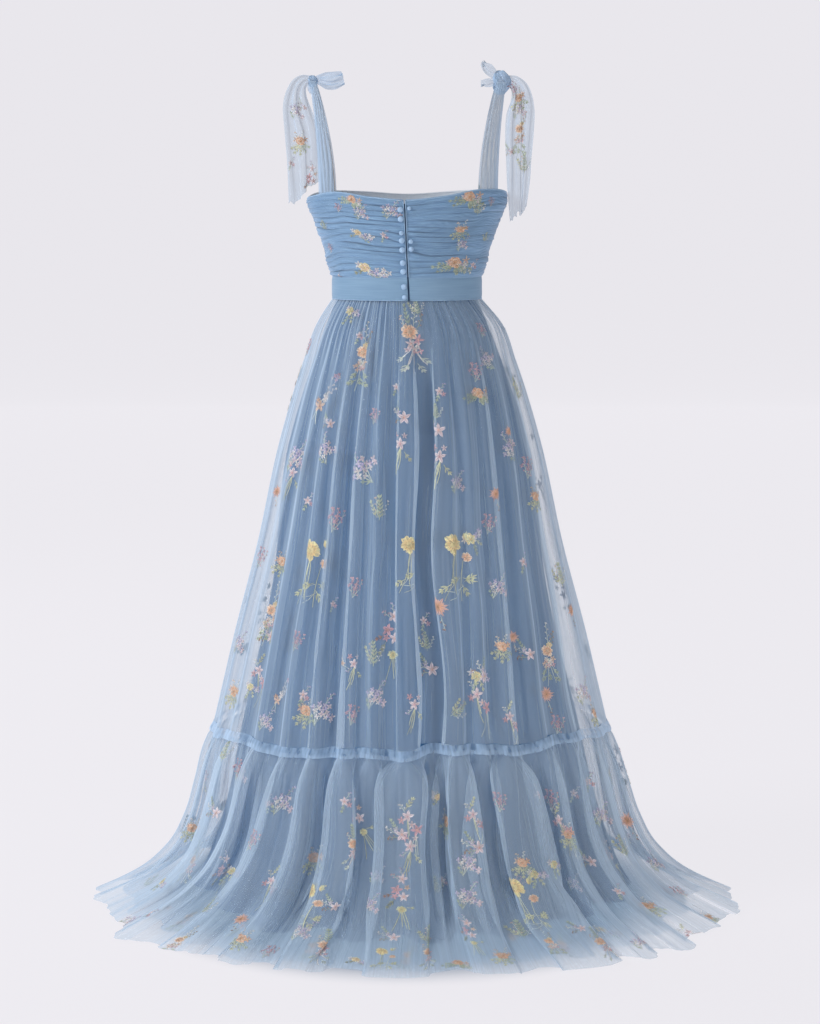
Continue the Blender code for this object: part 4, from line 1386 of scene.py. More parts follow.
KNOTS = table(
    Knot,
    ("left", (-0.164, 0.0, 0.376), (0.0085, 0.008, 0.012)),
    ("right", (0.164, 0.0, 0.374), (0.016, 0.014, 0.024)),
)
STRAPS = table(
    Strap,
    ("strap_back_left", 0, (-62.0, -46.5), 0.013, 0.11, -0.052),
    ("strap_back_right", 1, (47.0, 66.0), 0.02, 0.11, -0.052),
    ("strap_front_right", 1, (114.0, 133.0), 0.02, 0.09, 0.06),
    ("strap_front_left", 0, (226.5, 242.0), 0.013, 0.09, 0.06),
)
LOOSE_ENDS = (
    LooseEnd("tie_tail_left_net", ("tie_tail_left",), table(
        Station, (-0.164, -0.001, 0.379, 0.013, 78.0), (-0.179, -0.003, 0.377, 0.022, 60.0),
        (-0.1885, -0.004, 0.362, 0.036, 38.0), (-0.1895, -0.008, 0.33, 0.054, 18.0),
        (-0.183, -0.012, 0.29, 0.06, 6.0), (-0.18, -0.014, 0.25, 0.058, 0.0),
        (-0.1785, -0.014, 0.212, 0.057, 0.0), (-0.178, -0.014, 0.186, 0.056, -2.0)),
        -0.05, (0.06, 0.215), 3.2, False, 401),
    LooseEnd("tie_tail_right_net", ("tie_tail_right",), table(
        Station, (0.168, -0.002, 0.376, 0.02, -80.0), (0.186, -0.003, 0.374, 0.024, -60.0),
        (0.196, -0.004, 0.356, 0.038, -38.0), (0.197, -0.008, 0.325, 0.05, -14.0),
        (0.1955, -0.012, 0.285, 0.05, -4.0), (0.1945, -0.014, 0.24, 0.044, 0.0),
        (0.1945, -0.014, 0.2, 0.04, 0.0), (0.194, -0.014, 0.147, 0.029, 6.0)),
        -0.024, (0.05, 0.26), 3.0, False, 411),
    LooseEnd("tie_end_left_net", ("tie_end_left",), table(
        Station, (-0.162, -0.001, 0.378, 0.011, 84.0), (-0.153, -0.002, 0.378, 0.018, 84.0),
        (-0.141, -0.003, 0.3765, 0.029, 84.0), (-0.126, -0.003, 0.3775, 0.029, 80.0),
        (-0.111, -0.002, 0.383, 0.022, 74.0)), 0.01, (0.032, 0.052), 2.2, True, 421),
    LooseEnd("tie_loop_left_net", (), table(
        Station, (-0.164, -0.008, 0.373, 0.008, 20.0), (-0.1665, -0.01, 0.367, 0.012, 10.0),
        (-0.167, -0.01, 0.361, 0.01, 0.0), (-0.1665, -0.009, 0.356, 0.004, 0.0)),
        0.0, (0.011, 0.018), 1.2, True, 425),
    LooseEnd("tie_end_right_net", ("tie_end_right",), table(
        Station, (0.16, -0.002, 0.38, 0.01, 118.0), (0.149, -0.003, 0.39, 0.017, 124.0),
        (0.14, -0.003, 0.3985, 0.019, 130.0), (0.131, -0.002, 0.406, 0.01, 134.0)),
        0.0, (0.02, 0.042), 1.4, False, 431),
    LooseEnd("tie_end_right_second_net", (), table(
        Station, (0.158, -0.004, 0.374, 0.008, 80.0), (0.148, -0.005, 0.374, 0.014, 78.0),
        (0.138, -0.005, 0.3725, 0.015, 74.0), (0.129, -0.004, 0.369, 0.008, 70.0)),
        0.0, (0.015, 0.032), 1.4, False, 435),
)


@dataclass
class ShoulderTies:
    """The straps, their knots and the loose ends that hang from them."""

    finishes: Finishes
    cloths: GownCloths
    wall: float = 2.0 * MM
    pleat: float = 2.6 * MM
    end_pleat: float = 3.4 * MM

    def build(self) -> None:
        """Build every strap, knot and end."""
        for strap in STRAPS:
            self.add_strap(strap)
        for knot in KNOTS:
            self.add_knot(knot)
        for end in LOOSE_ENDS:
            self.add_end(end)

    def add_strap(self, strap: Strap, rows: int = 60, columns: int = 34) -> None:
        """An arch from the neckline over the shoulder to the knot: a cubic curve for each column.

        Lengthwise gathers run the whole way, closer together towards the knot. A front strap is
        faced inside.
        """
        knot = KNOTS[strap.knot]
        across = np.linspace(0.0, 1.0, columns)
        angles = strap.angles[0] + (strap.angles[1] - strap.angles[0]) * across
        base = BODICE_OUTLINE.ring(neck_height(angles) - 4.0 * MM, angles, -1.5 * MM)
        sense = copysign(1.0, strap.reach)
        clear = knot.half_size[1] + self.wall
        top = np.stack([knot.centre[0] - sense * strap.top_width * 0.8 * (across - 0.5),
                        np.full(columns, sense * clear * 0.8), np.full(columns, knot.centre[2])], axis=1)
        t = np.linspace(1.0, 0.0, rows)[:, None, None]
        rise, reach = np.array([0.0, 0.0, strap.rise]), np.array([0.0, strap.reach * 0.8, 0.004])
        points = ((1 - t) ** 3 * base + 3 * t * (1 - t) ** 2 * (base + rise)
                  + 3 * t * t * (1 - t) * (top + reach) + t ** 3 * top)
        turn = 4.5 * across[None, :] + 0.35 * wander(across[None, :] * 3, t[..., 0] * 5, 500 + strap.knot)
        gather = 0.6 + 0.4 * wander(across * 4, t[..., 0] * 7, 503)
        gather = self.pleat * np.abs(np.cos(pi * turn)) * gather
        round_over = 3.0 * MM * (1.0 - (2 * across[None, :] - 1) ** 2)
        points[..., 1] += sense * (gather + round_over - self.pleat) * step_up(1.0 - t[..., 0], -0.05, 0.6)
        cloth = Cloth(points)
        piece = settle(cloth.to_object(f"{strap.node}_gathered", self.finishes.strap_net), "tie_tulle",
                       strap.node)
        self.cloths[piece.name] = cloth
        if "front" in strap.node:
            inside = (points - np.array([0.0, sense * 1.2 * MM, 0.0]))[::2, 3:-3][:, ::-1]
            facing = Cloth(np.ascontiguousarray(inside))
            facing = settle(facing.to_object(f"{strap.node}_facing", self.finishes.facing), "tie_tulle")

    def add_knot(self, knot: Knot, rows: int = 42, columns: int = 56) -> None:
        """A rolled knot: a ball whose radius swells in lobes that twist as they climb."""
        climb = np.linspace(-0.5, 0.5, rows)[:, None] * pi
        turn = np.linspace(0.0, 2 * pi, columns)[None, :]
        lobes = 0.15 * np.cos(3 * turn + 4 * np.sin(climb))
        lobes = lobes + 0.12 * np.abs(np.cos(5 * turn + 7 * np.sin(climb)))
        size = 0.84 + lobes * np.cos(climb)
        ball = np.stack([np.cos(climb) * np.cos(turn), np.cos(climb) * np.sin(turn),
                         np.sin(climb) + 0.0 * turn], axis=-1) * size[..., None]
        points = np.array(knot.centre) + ball * np.array(knot.half_size)
        piece = Cloth(points[::-1]).to_object(f"knot_{knot.side}_rolled", self.finishes.gathered_net)
        settle(piece, "tie_tulle", f"knot_{knot.side}")

    def add_end(self, end: LooseEnd) -> None:
        """A loose strip through its stations, with soft lengthwise pleats and a raw slanted edge."""
        rows, columns = (84, 40) if end.flat[1] > 0.1 else (44, 24)
        number = np.arange(len(end.stations), dtype=float)
        at = np.linspace(0.0, number[-1], rows)

        def read(column: str) -> Grid:
            return smooth(at, number, [getattr(s, column) for s in end.stations])[:, None]

        across = np.linspace(-0.5, 0.5, columns)[None, :]
        along = np.linspace(0.0, 1.0, rows)[:, None]
        width, tilt = read("width"), np.radians(read("tilt"))
        ragged = 0.03 * wander(across * 9, 0.0 * along, end.seed) * along ** 6
        turn = across * end.pleats + 0.3 * wander(across * 2.5, along * 3, end.seed + 1) + 0.2
        size = 0.6 + 0.5 * wander(across * 3, along * 2.5, end.seed + 2)
        size = self.end_pleat * np.minimum(1.0, width / 0.030) * size
        shift = 0.10 * np.sin(4 * pi * turn) / end.pleats
        x = read("x") + (across + shift * (1 - 4 * across ** 2)) * width * np.cos(tilt)
        z = read("z") - (across + shift * (1 - 4 * across ** 2)) * width * np.sin(tilt)
        z = z - end.slant * across * along ** 4 - ragged * 0.2
        y = read("y") - size * (0.5 + 0.5 * np.cos(2 * pi * turn)) - 0.5 * MM
        cloth = Cloth(np.stack([x, y, z], axis=-1))
        material = self.finishes.gathered_net if end.is_dense else self.finishes.tie_net
        piece = settle(cloth.to_object(end.name, material), "tie_tulle", *end.nodes)
        self.cloths[piece.name] = cloth


# ---- Embroidery ----


class Thread(Enum):
    """The embroidery threads' colours."""

    YELLOW = "#F6E5B0"
    GOLD = "#EFD49F"
    PEACH = "#F7D8C2"
    ORANGE = "#F4C09E"
    CORAL = "#EDBFB2"
    ROSE = "#EABAC3"
    PINK = "#F8E3E7"
    WHITE = "#FAF6F5"
    LILAC = "#D2C7E8"
    MAUVE = "#B7A3C4"
    LEAF = "#C3D0B7"
    LIME = "#DEE1BC"
    MINT = "#DBE6DC"
    OLIVE = "#A9AE92"
    RUST = "#B58C78"

    @property
    def linear(self) -> Triple:
        """The colour in linear RGB."""
        return linear(self.value)[:3]


YELLOW, GOLD, PEACH, ORANGE, CORAL, ROSE, PINK, WHITE, LILAC, MAUVE, LEAF, LIME, MINT, OLIVE, RUST = Thread


@dataclass
class Sprig:
    """A sprig of flowers drawn flat, in millimetres, as a list of satin-stitched blades.

    A blade is x, y, heading in degrees, length, width, bend in degrees, how far it rises, and how
    much of its width is left at its ends.
    """

    blades: list[tuple[float, ...]] = field(default_factory=list)
    threads: list[Thread] = field(default_factory=list)

    def blade(self, x: float, y: float, heading: float, length: float, width: float, thread: Thread,
              bend: float = 0.0, rise: float = 0.7, ends: float = 0.15) -> tuple[float, float]:
        """Add one blade and return where it ends, in millimetres."""
        self.blades.append((x, y, heading, length, width, bend, rise, ends))
        self.threads.append(thread)
        way = radians(heading + bend / 2)
        chord = length * (1.0 - (radians(bend) ** 2) / 24.0)
        return x + chord * cos(way), y + chord * sin(way)

    def stem(self, x: float, y: float, heading: float, length: float, thread: Thread = MINT,
             bend: float = 0.0, width: float = 1.1) -> tuple[float, float]:
        """Add a stem: a narrow blade that keeps its width."""
        return self.blade(x, y, heading, length, width, thread, bend, 0.5, 0.75)

    def stems(self, x: float, y: float, headings: Sequence[float], lengths: Sequence[float],
              thread: Thread = MINT, bend: float = 0.0) -> None:
        """Add several stems from one place, bent alternately to either side."""
        for number, (heading, length) in enumerate(zip(headings, lengths)):
            self.stem(x, y, heading, length, thread, bend if number % 2 else -bend)

    def knot(self, x: float, y: float, size: float, thread: Thread) -> None:
        """Add a small round knot."""
        self.blade(x, y - size, 90.0, 2 * size, 1.9 * size, thread, rise=1.0, ends=0.45)

    def star(self, x: float, y: float, size: float, thread: Thread, heart: Thread, petals: int = 5,
             turn: float = 90.0, width: float = 0.46) -> None:
        """Add an open flower: separate petals round a small heart."""
        for number in range(petals):
            heading = turn + 360.0 / petals * number
            way = radians(heading)
            self.blade(x + 0.12 * size * cos(way), y + 0.12 * size * sin(way), heading, size,
                       width * size, thread, bend=12.0 * (-1) ** number)
        self.knot(x, y, 0.22 * size, heart)

    def rose(self, x: float, y: float, size: float, outer: Thread, inner: Thread, heart: Thread,
             petals: int = 9) -> None:
        """Add a full flower: two rings of broad petals, a ring of short ones and a heart of knots."""
        rings = ((1.0, 0.42, outer, petals), (0.74, 0.2, inner, petals - 1), (0.46, 0.0, outer, petals - 3))
        for ring, (reach, start, thread, count) in enumerate(rings):
            for number in range(count):
                heading = 17.0 * ring + 360.0 / count * number + 9.0 * sin(3.0 * number)
                way = radians(heading)
                self.blade(x + start * size * cos(way), y + start * size * sin(way), heading,
                           reach * size * (0.92 + 0.12 * sin(5.0 * number)) - start * size,
                           0.55 * reach * size, thread, rise=0.6 + 0.35 * ring, ends=0.6)
        for number in range(4):
            way = 1.7 * number
            self.knot(x + 0.17 * size * cos(way), y + 0.17 * size * sin(way), 0.10 * size, heart)

    def fern(self, x: float, y: float, heading: float, length: float, pairs: int, size: float,
             thread: Thread = LEAF, bend: float = 0.0) -> tuple[float, float]:
        """Add a stem with leaves in pairs along it, smaller towards its tip."""
        for number in range(pairs):
            share = (number + 0.8) / pairs
            way = radians(heading + bend * share / 2)
            at_x, at_y = x + share * length * cos(way), y + share * length * sin(way)
            for side in (-1, 1):
                self.blade(at_x, at_y, heading + bend * share + side * 44.0, size * (1.15 - 0.45 * share),
                           0.30 * size, thread, bend=-22.0 * side)
        end = self.stem(x, y, heading, length, thread, bend)
        self.blade(*end, heading + bend, size * 0.7, 0.28 * size, thread)
        return end

    def spray(self, x: float, y: float, heading: float, length: float, count: int, thread: Thread,
              tip: Thread, bend: float = 0.0, size: float = 1.2) -> None:
        """Add a thin stem with short side stems, each ending in a knot."""
        end = self.stem(x, y, heading, length, thread, bend, 0.9)
        for number in range(count):
            share = (number + 1.0) / (count + 0.6)
            way = radians(heading + bend * share / 2)
            side = 40.0 if number % 2 else -40.0
            ends = self.stem(x + share * length * cos(way), y + share * length * sin(way),
                             heading + bend * share + side, 5.0 - 2.0 * share, thread, 0.0, 0.8)
            self.knot(*ends, size, tip)
        self.knot(*end, size, tip)

    def cluster(self, x: float, y: float, width: float, height: float, count: int, size: float,
                *threads: Thread) -> None:
        """Scatter small four-petalled florets evenly over an oval, a golden angle apart."""
        for number in range(count):
            share = sqrt((number + 0.4) / count)
            way = 2.4 * number
            self.star(x + width * share * cos(way), y + height * share * sin(way),
                      size * (1.1 - 0.3 * share), threads[number % len(threads)],
                      threads[(number + 1) % len(threads)], 4, 40.0 * number, 0.62)


class Design(Enum):
    """The sprigs that are scattered over the net."""

    YELLOW_ROSE = "yellow rose, buds and looping stems"
    PEACH_ROSE = "peach rose with small blossoms and crossed stems"
    BOUQUET = "orange rose, pink blossoms and a fan of pale stems"
    STAR = "pale pink star with a green sprig"
    STAR_STEMS = "pale pink star on long curved stems"
    THREE_STARS = "three stars above a green bud and three stems"
    TWO_STARS = "two pink stars on thin stems"
    WHITE_SPRAY = "white star with a rising white spray"
    LILAC_BRANCH = "lilac florets on a thin branch"
    LEAFY = "green branch with pairs of leaves"
    RUST_STAR = "dense coral star"
    SMALL = "small floret with two leaves"
    BLOSSOM = "orange blossom among green leaves"
    DOTS = "scattered small knots on a thin branch"
    YELLOW_BUD = "yellow bud with white and lilac florets"
    WIDE_BLOSSOM = "orange blossom between two leafy fans"
    WIDE_BUD = "yellow blossom beside a drift of white and lilac florets"


(YELLOW_ROSE, PEACH_ROSE, BOUQUET, STAR, STAR_STEMS, THREE_STARS, TWO_STARS, WHITE_SPRAY, LILAC_BRANCH, LEAFY,
 RUST_STAR, SMALL, BLOSSOM, DOTS, YELLOW_BUD, WIDE_BLOSSOM, WIDE_BUD) = Design


def draw(design: Design) -> Sprig:
    """Draw a design flat.

    Args:
        design: which sprig.

    Returns:
        The sprig, in millimetres, its main flower at the middle.
    """
    sprig = Sprig()
    blade, stem, stems, knot, star = sprig.blade, sprig.stem, sprig.stems, sprig.knot, sprig.star
    rose, fern, spray, cluster = sprig.rose, sprig.fern, sprig.spray, sprig.cluster
    if design is YELLOW_ROSE:
        stems(2, -10, (-92, -104, -80), (78, 66, 60), LIME, 26)
        stem(20, -26, -105, 62, LIME, 20)
        stem(-14, -70, -20, 34, MINT, 60)
        stem(-10, -84, 10, 30, MINT, 50)
        stem(14, -52, 190, 30, MINT, 50)
        for x, y, heading in ((18, -52, -15), (20, -58, 30), (12, -50, 200), (-8, -60, 215),
                              (16, -62, -60)):
            fern(x, y, heading, 15, 2, 10, LIME)
        spray(26, 2, 70, 14, 3, MINT, YELLOW)
        blade(25, 4, 80, 14, 8, LIME, 10)
        blade(25, 4, 112, 12, 7, YELLOW, -10)
        rose(27, -21, 9, PEACH, ORANGE, YELLOW, 8)
        rose(0, 0, 17, YELLOW, GOLD, PEACH, 10)
    elif design is PEACH_ROSE:
        spray(2, 8, 84, 40, 7, MINT, WHITE, 8)
        spray(6, 8, 66, 26, 5, OLIVE, RUST, 12)
        stems(0, -12, (-110, -70, -92, -82), (40, 38, 48, 44), MINT, 10)
        for x, y, heading in ((-4, -30, -135), (5, -30, -40), (-5, -42, -150), (6, -44, -30),
                              (0, -36, -90)):
            fern(x, y, heading, 10, 2, 7, LEAF)
        cluster(0, -20, 12, 8, 8, 4.5, WHITE, PEACH, ROSE)
        star(8, -14, 6, PEACH, ORANGE, turn=60)
        rose(0, 0, 11, PEACH, ORANGE, YELLOW, 9)
        rose(5, 10, 6, YELLOW, PEACH, ORANGE, 7)
    elif design is BOUQUET:
        stems(4, -20, (-125, -112, -100, -88, -76, -64, -52), (30, 36, 38, 42, 40, 34, 28), WHITE, 14)
        fern(0, 8, 98, 32, 5, 8, LEAF)
        spray(6, 8, 80, 34, 7, MINT, WHITE)
        spray(10, 4, 62, 26, 5, OLIVE, RUST)
        spray(-4, 4, 116, 22, 5, MINT, PEACH)
        for x, y, heading in ((-6, -34, -140), (14, -36, -40), (-2, -44, -120), (12, -46, -60)):
            fern(x, y, heading, 11, 2, 7, MINT)
        cluster(6, -24, 13, 9, 7, 5.0, WHITE, PINK, ROSE)
        star(12, -12, 8, ROSE, CORAL, turn=70)
        star(0, -17, 6.5, PINK, CORAL)
        rose(0, 0, 13, PEACH, ORANGE, CORAL, 9)
    elif design is STAR:
        fern(-6, 4, 122, 20, 4, 6, LEAF)
        spray(-6, 0, 150, 20, 5, MINT, WHITE)
        spray(-5, -4, 185, 15, 4, OLIVE, RUST)
        star(-9, 7, 4.5, LILAC, WHITE)
        star(0, 0, 9, PINK, CORAL, width=0.55)
    elif design is STAR_STEMS:
        stems(1, -6, (-96, -110, -86, -120), (46, 42, 34, 30), LIME, 22)
        fern(6, -12, -60, 14, 2, 7, LIME, 10)
        spray(-3, -8, 215, 12, 3, MINT, LILAC)
        star(-8, 13, 5.5, ROSE, CORAL, turn=60)
        star(7, 12, 4.5, PINK, ROSE)
        star(0, 0, 9, PINK, ROSE, turn=80, width=0.55)
    elif design is THREE_STARS:
        stems(1, -30, (-100, -84, -70, -92), (52, 46, 48, 40), LIME, 10)
        fern(-10, -14, -125, 18, 3, 8, OLIVE)
        fern(-14, -4, -160, 12, 2, 7, RUST)
        spray(2, 26, 100, 18, 4, MINT, LILAC)
        spray(-4, 22, 140, 16, 4, MINT, ROSE)
        rose(1, -34, 8, LIME, YELLOW, LEAF, 8)
        fern(8, -30, -10, 8, 1, 7, LIME)
        for x, y, size, thread in ((2, 24, 9, PINK), (-8, 4, 9.5, ROSE), (4, -9, 9, PINK),
                                   (-10, -8, 6, ROSE), (10, 8, 5, PEACH)):
            star(x, y, size, thread, CORAL, turn=60 + 7 * x, width=0.55)
    elif design is TWO_STARS:
        stems(0, -4, (-72, -84), (26, 40), LIME, 10)
        stems(16, -26, (-104, -92, -80), (40, 42, 34), MINT, 8)
        fern(-4, 10, 62, 18, 3, 7, LIME)
        spray(-4, 6, 120, 14, 4, MINT, WHITE)
        star(-9, -6, 6, ROSE, CORAL)
        star(0, 0, 9, PINK, ROSE, turn=80, width=0.55)
        star(17, -21, 9, ROSE, CORAL, turn=110, width=0.5)
        star(8, -13, 6, PINK, CORAL)
    elif design is WHITE_SPRAY:
        for heading, length in ((60, 52), (74, 44), (48, 36)):
            spray(4, 4, heading, length, 7, WHITE, WHITE, -8)
        cluster(27, 46, 6, 6, 4, 4.0, LILAC, ROSE)
        stems(-3, -6, (-110, -90), (18, 22), MINT, 8)
        star(0, 0, 9, PEACH, CORAL, width=0.55)
        star(8, 12, 7, WHITE, PINK, turn=60)
        star(-5, 9, 5, ORANGE, YELLOW, turn=30)
    elif design is LILAC_BRANCH:
        stems(-8, -20, (70, 88, 54), (30, 28, 34), MINT, 14)
        spray(4, 6, 50, 20, 5, MINT, LILAC)
        fern(-8, -22, 110, 14, 2, 6, LEAF)
        cluster(0, 0, 14, 12, 11, 4.6, LILAC, WHITE, PINK)
        cluster(14, -11, 7, 5, 3, 4.5, PINK, LILAC)
    elif design is LEAFY:
        fern(0, -18, 84, 38, 6, 10, LEAF, bend=14)
        fern(-4, -14, 118, 28, 4, 8, LIME)
        spray(4, -14, 62, 30, 6, MINT, WHITE)
        spray(-2, -14, 98, 34, 6, MINT, PEACH)
    elif design is RUST_STAR:
        for number in range(15):
            blade(0, 0, 24.0 * number, 15 - 3 * (number % 2), 4.2, CORAL, 14)
        for number in range(9):
            blade(0, 0, 22 + 40.0 * number, 9, 3.2, ORANGE, rise=1.1)
        knot(0, 0, 2.0, RUST)
        spray(2, -12, -80, 20, 3, MINT, RUST)
    elif design is SMALL:
        fern(0, -3, -110, 12, 2, 6, LEAF)
        spray(2, 4, 50, 12, 3, MINT, LILAC)
        star(0, 0, 7, PINK, CORAL, width=0.55)
        star(7, -5, 4.5, ROSE, CORAL)
    elif design is BLOSSOM:
        for heading in (-165, -135, -95, -60, -25):
            fern(0, -4, heading, 20, 3, 8, LIME if heading < -90 else LEAF)
        spray(2, 6, 70, 20, 5, MINT, WHITE)
        spray(-2, 6, 115, 18, 4, MINT, PEACH)
        star(-10, 7, 7, PEACH, CORAL, turn=60)
        star(11, 5, 7, ORANGE, YELLOW, turn=20)
        rose(0, 3, 11, ORANGE, PEACH, YELLOW, 9)
    elif design is DOTS:
        for heading, bend in ((72, 10), (100, -14), (48, 20)):
            spray(-3, -16, heading, 34, 6, MINT, ROSE, bend)
        cluster(0, 6, 13, 11, 7, 3.6, ROSE, MAUVE)
    elif design is YELLOW_BUD:
        fern(0, -5, -110, 16, 3, 6, LEAF)
        fern(4, -4, -70, 14, 2, 6, LIME)
        cluster(13, -3, 10, 6, 6, 4.2, WHITE, LILAC)
        star(-8, 5, 5.5, WHITE, LILAC, turn=20)
        rose(0, 0, 8.5, YELLOW, LIME, GOLD, 7)
    elif design is WIDE_BLOSSOM:
        for heading, length in ((182, 30), (168, 22), (200, 24), (-6, 26), (12, 20), (-24, 20), (-60, 12)):
            fern(0, -5, heading, length, 4, 7, LEAF)
        spray(6, -6, -18, 26, 5, MINT, WHITE)
        cluster(15, -2, 8, 5, 5, 4.0, WHITE, LILAC)
        star(17, 6, 6.5, PEACH, CORAL, turn=20)
        star(-9, 2, 6, PINK, CORAL)
        rose(0, 2, 11, ORANGE, PEACH, YELLOW, 9)
    elif design is WIDE_BUD:
        fern(0, -4, 205, 14, 2, 7, OLIVE)
        fern(4, -6, -30, 20, 3, 6, LEAF)
        cluster(20, -5, 17, 7, 13, 4.2, WHITE, LILAC, WHITE)
        star(-9, 3, 5.5, WHITE, LILAC)
        rose(0, 0, 9, YELLOW, PEACH, ORANGE, 8)
    return sprig


@dataclass(frozen=True)
class Spot:
    """Where a sprig sits: the photograph's pixel that its main flower covers, its size and its turn."""

    across: float
    down: float
    design: Design
    size: float = 1.0
    turn: float = 0.0


BACK_SKIRT_SPOTS = table(
    Spot,
    (349, 309, YELLOW_BUD), (357, 335, SMALL, 0.8), (360, 352, PEACH_ROSE), (319, 403, WHITE_SPRAY),
    (372, 417, DOTS, 0.7), (412, 331, BOUQUET, 1.1), (414, 307, LEAFY, 0.7), (484, 330, DOTS, 0.7),
    (488, 358, LILAC_BRANCH, 0.8, 60), (478, 372, DOTS, 0.9), (480, 393, WIDE_BLOSSOM, 0.9),
    (519, 390, LEAFY, 0.9), (403, 417, STAR, 1.1), (400, 441, STAR_STEMS), (433, 414, LEAFY, 0.6),
    (440, 429, STAR, 1.15), (437, 457, STAR_STEMS, 1.05), (442, 391, SMALL, 0.9),
    (512, 448, LILAC_BRANCH, 1.0, 60), (511, 430, RUST_STAR, 0.6), (498, 492, RUST_STAR, 0.8),
    (538, 498, BLOSSOM, 0.8), (321, 450, LILAC_BRANCH, 1.0, 40), (292, 455, LILAC_BRANCH, 1.2),
    (290, 474, STAR_STEMS, 0.9), (362, 468, LILAC_BRANCH, 1.3, 70), (337, 520, DOTS, 1.1),
    (309, 548, YELLOW_ROSE), (456, 543, YELLOW_ROSE), (411, 545, YELLOW_ROSE, 0.85),
    (473, 538, YELLOW_BUD, 1.1, 40), (486, 526, DOTS, 0.9), (380, 510, LEAFY, 0.9),
    (436, 606, RUST_STAR, 1.1), (426, 622, SMALL, 0.9), (427, 643, LEAFY, 0.7), (434, 668, STAR, 1.1),
    (390, 633, THREE_STARS), (374, 655, LEAFY, 0.9), (280, 565, BLOSSOM, 0.8), (270, 608, PEACH_ROSE, 0.95),
    (268, 637, STAR), (257, 668, TWO_STARS, 0.9), (248, 686, YELLOW_BUD, 0.8),
    (351, 664, STAR_STEMS, 0.8), (341, 662, WHITE_SPRAY, 0.5, 60), (304, 692, SMALL),
    (305, 711, BLOSSOM, 0.9), (324, 709, LILAC_BRANCH, 1.1), (376, 696, LILAC_BRANCH),
    (474, 677, YELLOW_BUD, 1.1), (487, 677, STAR, 1.0, -40), (474, 693, TWO_STARS),
    (461, 711, LEAFY, 0.8, -60), (514, 638, RUST_STAR, 0.7), (505, 648, BLOSSOM, 0.8),
    (533, 654, STAR), (550, 652, PEACH_ROSE, 0.9), (549, 695, RUST_STAR, 0.9),
    (573, 608, RUST_STAR, 0.8), (563, 577, LEAFY, 0.9), (585, 690, LILAC_BRANCH),
    (598, 714, BLOSSOM, 0.8), (275, 493, RUST_STAR, 0.7), (258, 560, DOTS),
    (237, 640, LILAC_BRANCH, 0.9), (232, 692, BLOSSOM, 0.9), (530, 470, DOTS), (303, 345, DOTS, 0.8),
    (333, 425, STAR, 0.8), (305, 500, SMALL, 0.9), (395, 385, SMALL, 0.8), (458, 480, LILAC_BRANCH, 0.8),
    (352, 590, DOTS, 0.9), (335, 605, SMALL, 0.7), (500, 585, LILAC_BRANCH, 0.9), (525, 560, SMALL),
    (294, 640, DOTS, 0.9), (415, 705, STAR_STEMS, 0.9), (510, 715, TWO_STARS, 0.8), (350, 715, DOTS, 0.9),
    (275, 700, WHITE_SPRAY, 0.7), (560, 725, DOTS, 0.9), (262, 720, LILAC_BRANCH, 0.8),
)
BACK_RUFFLE_SPOTS = table(
    Spot,
    (408, 814, TWO_STARS), (401, 832, STAR), (411, 846, STAR_STEMS), (401, 890, THREE_STARS, 0.9),
    (443, 822, BLOSSOM, 0.9), (472, 812, TWO_STARS, 0.9), (480, 847, STAR, 1.1), (468, 862, LILAC_BRANCH),
    (469, 895, LILAC_BRANCH, 1.1), (470, 930, THREE_STARS, 0.8), (512, 889, YELLOW_ROSE),
    (522, 862, BLOSSOM, 0.8), (536, 872, YELLOW_BUD), (548, 800, DOTS), (557, 818, TWO_STARS, 0.9),
    (570, 835, BLOSSOM, 0.8), (555, 862, YELLOW_BUD), (600, 812, LILAC_BRANCH, 0.9), (628, 818, RUST_STAR),
    (625, 846, LEAFY, 0.9), (600, 940, BOUQUET), (583, 927, STAR), (650, 905, BLOSSOM),
    (240, 917, RUST_STAR, 0.9), (240, 938, BLOSSOM), (309, 889, YELLOW_ROSE, 0.85),
    (315, 857, BLOSSOM, 0.9), (355, 842, BOUQUET, 0.7), (326, 944, BOUQUET, 0.9), (430, 950, BOUQUET, 0.9),
    (430, 934, LEAFY), (283, 800, LILAC_BRANCH), (235, 770, DOTS), (214, 812, STAR),
    (190, 832, BLOSSOM, 0.8), (270, 880, TWO_STARS, 0.9), (160, 880, YELLOW_BUD), (130, 918, LILAC_BRANCH),
    (178, 938, PEACH_ROSE, 0.8), (380, 950, YELLOW_ROSE, 0.6), (520, 928, LEAFY, 1.1),
    (655, 860, LILAC_BRANCH, 0.9), (690, 930, TWO_STARS, 0.8), (222, 752, LEAFY, 0.8),
    (640, 940, LILAC_BRANCH, 0.9), (368, 902, LILAC_BRANCH, 0.9), (345, 800, SMALL), (250, 840, DOTS),
    (300, 930, LILAC_BRANCH), (205, 905, LEAFY, 0.9), (395, 935, STAR), (505, 955, BLOSSOM, 0.9),
    (550, 940, PEACH_ROSE, 0.7), (620, 890, SMALL), (590, 860, STAR), (680, 890, DOTS, 0.9),
    (710, 915, BLOSSOM, 0.8), (150, 910, SMALL), (230, 870, YELLOW_BUD, 0.9), (500, 800, DOTS, 0.9),
    (440, 880, SMALL, 0.9), (335, 905, STAR, 0.9), (270, 950, DOTS), (460, 962, WIDE_BLOSSOM, 0.8),
    (355, 958, WIDE_BUD, 0.9), (590, 780, SMALL),
)
LEFT_BACK_SPOTS = table(
    Spot,
    (351, 203, WIDE_BLOSSOM, 0.7, -10), (357, 212, LILAC_BRANCH, 0.7), (388, 209, LILAC_BRANCH, 0.9),
    (356, 235, WIDE_BUD, 0.8, -6), (383, 238, SMALL, 0.7), (362, 267, WIDE_BUD, 1.2, -8),
    (336, 209, DOTS, 0.5), (328, 250, DOTS, 0.5), (337, 278, SMALL, 0.45), (322, 226, LEAFY, 0.45),
)
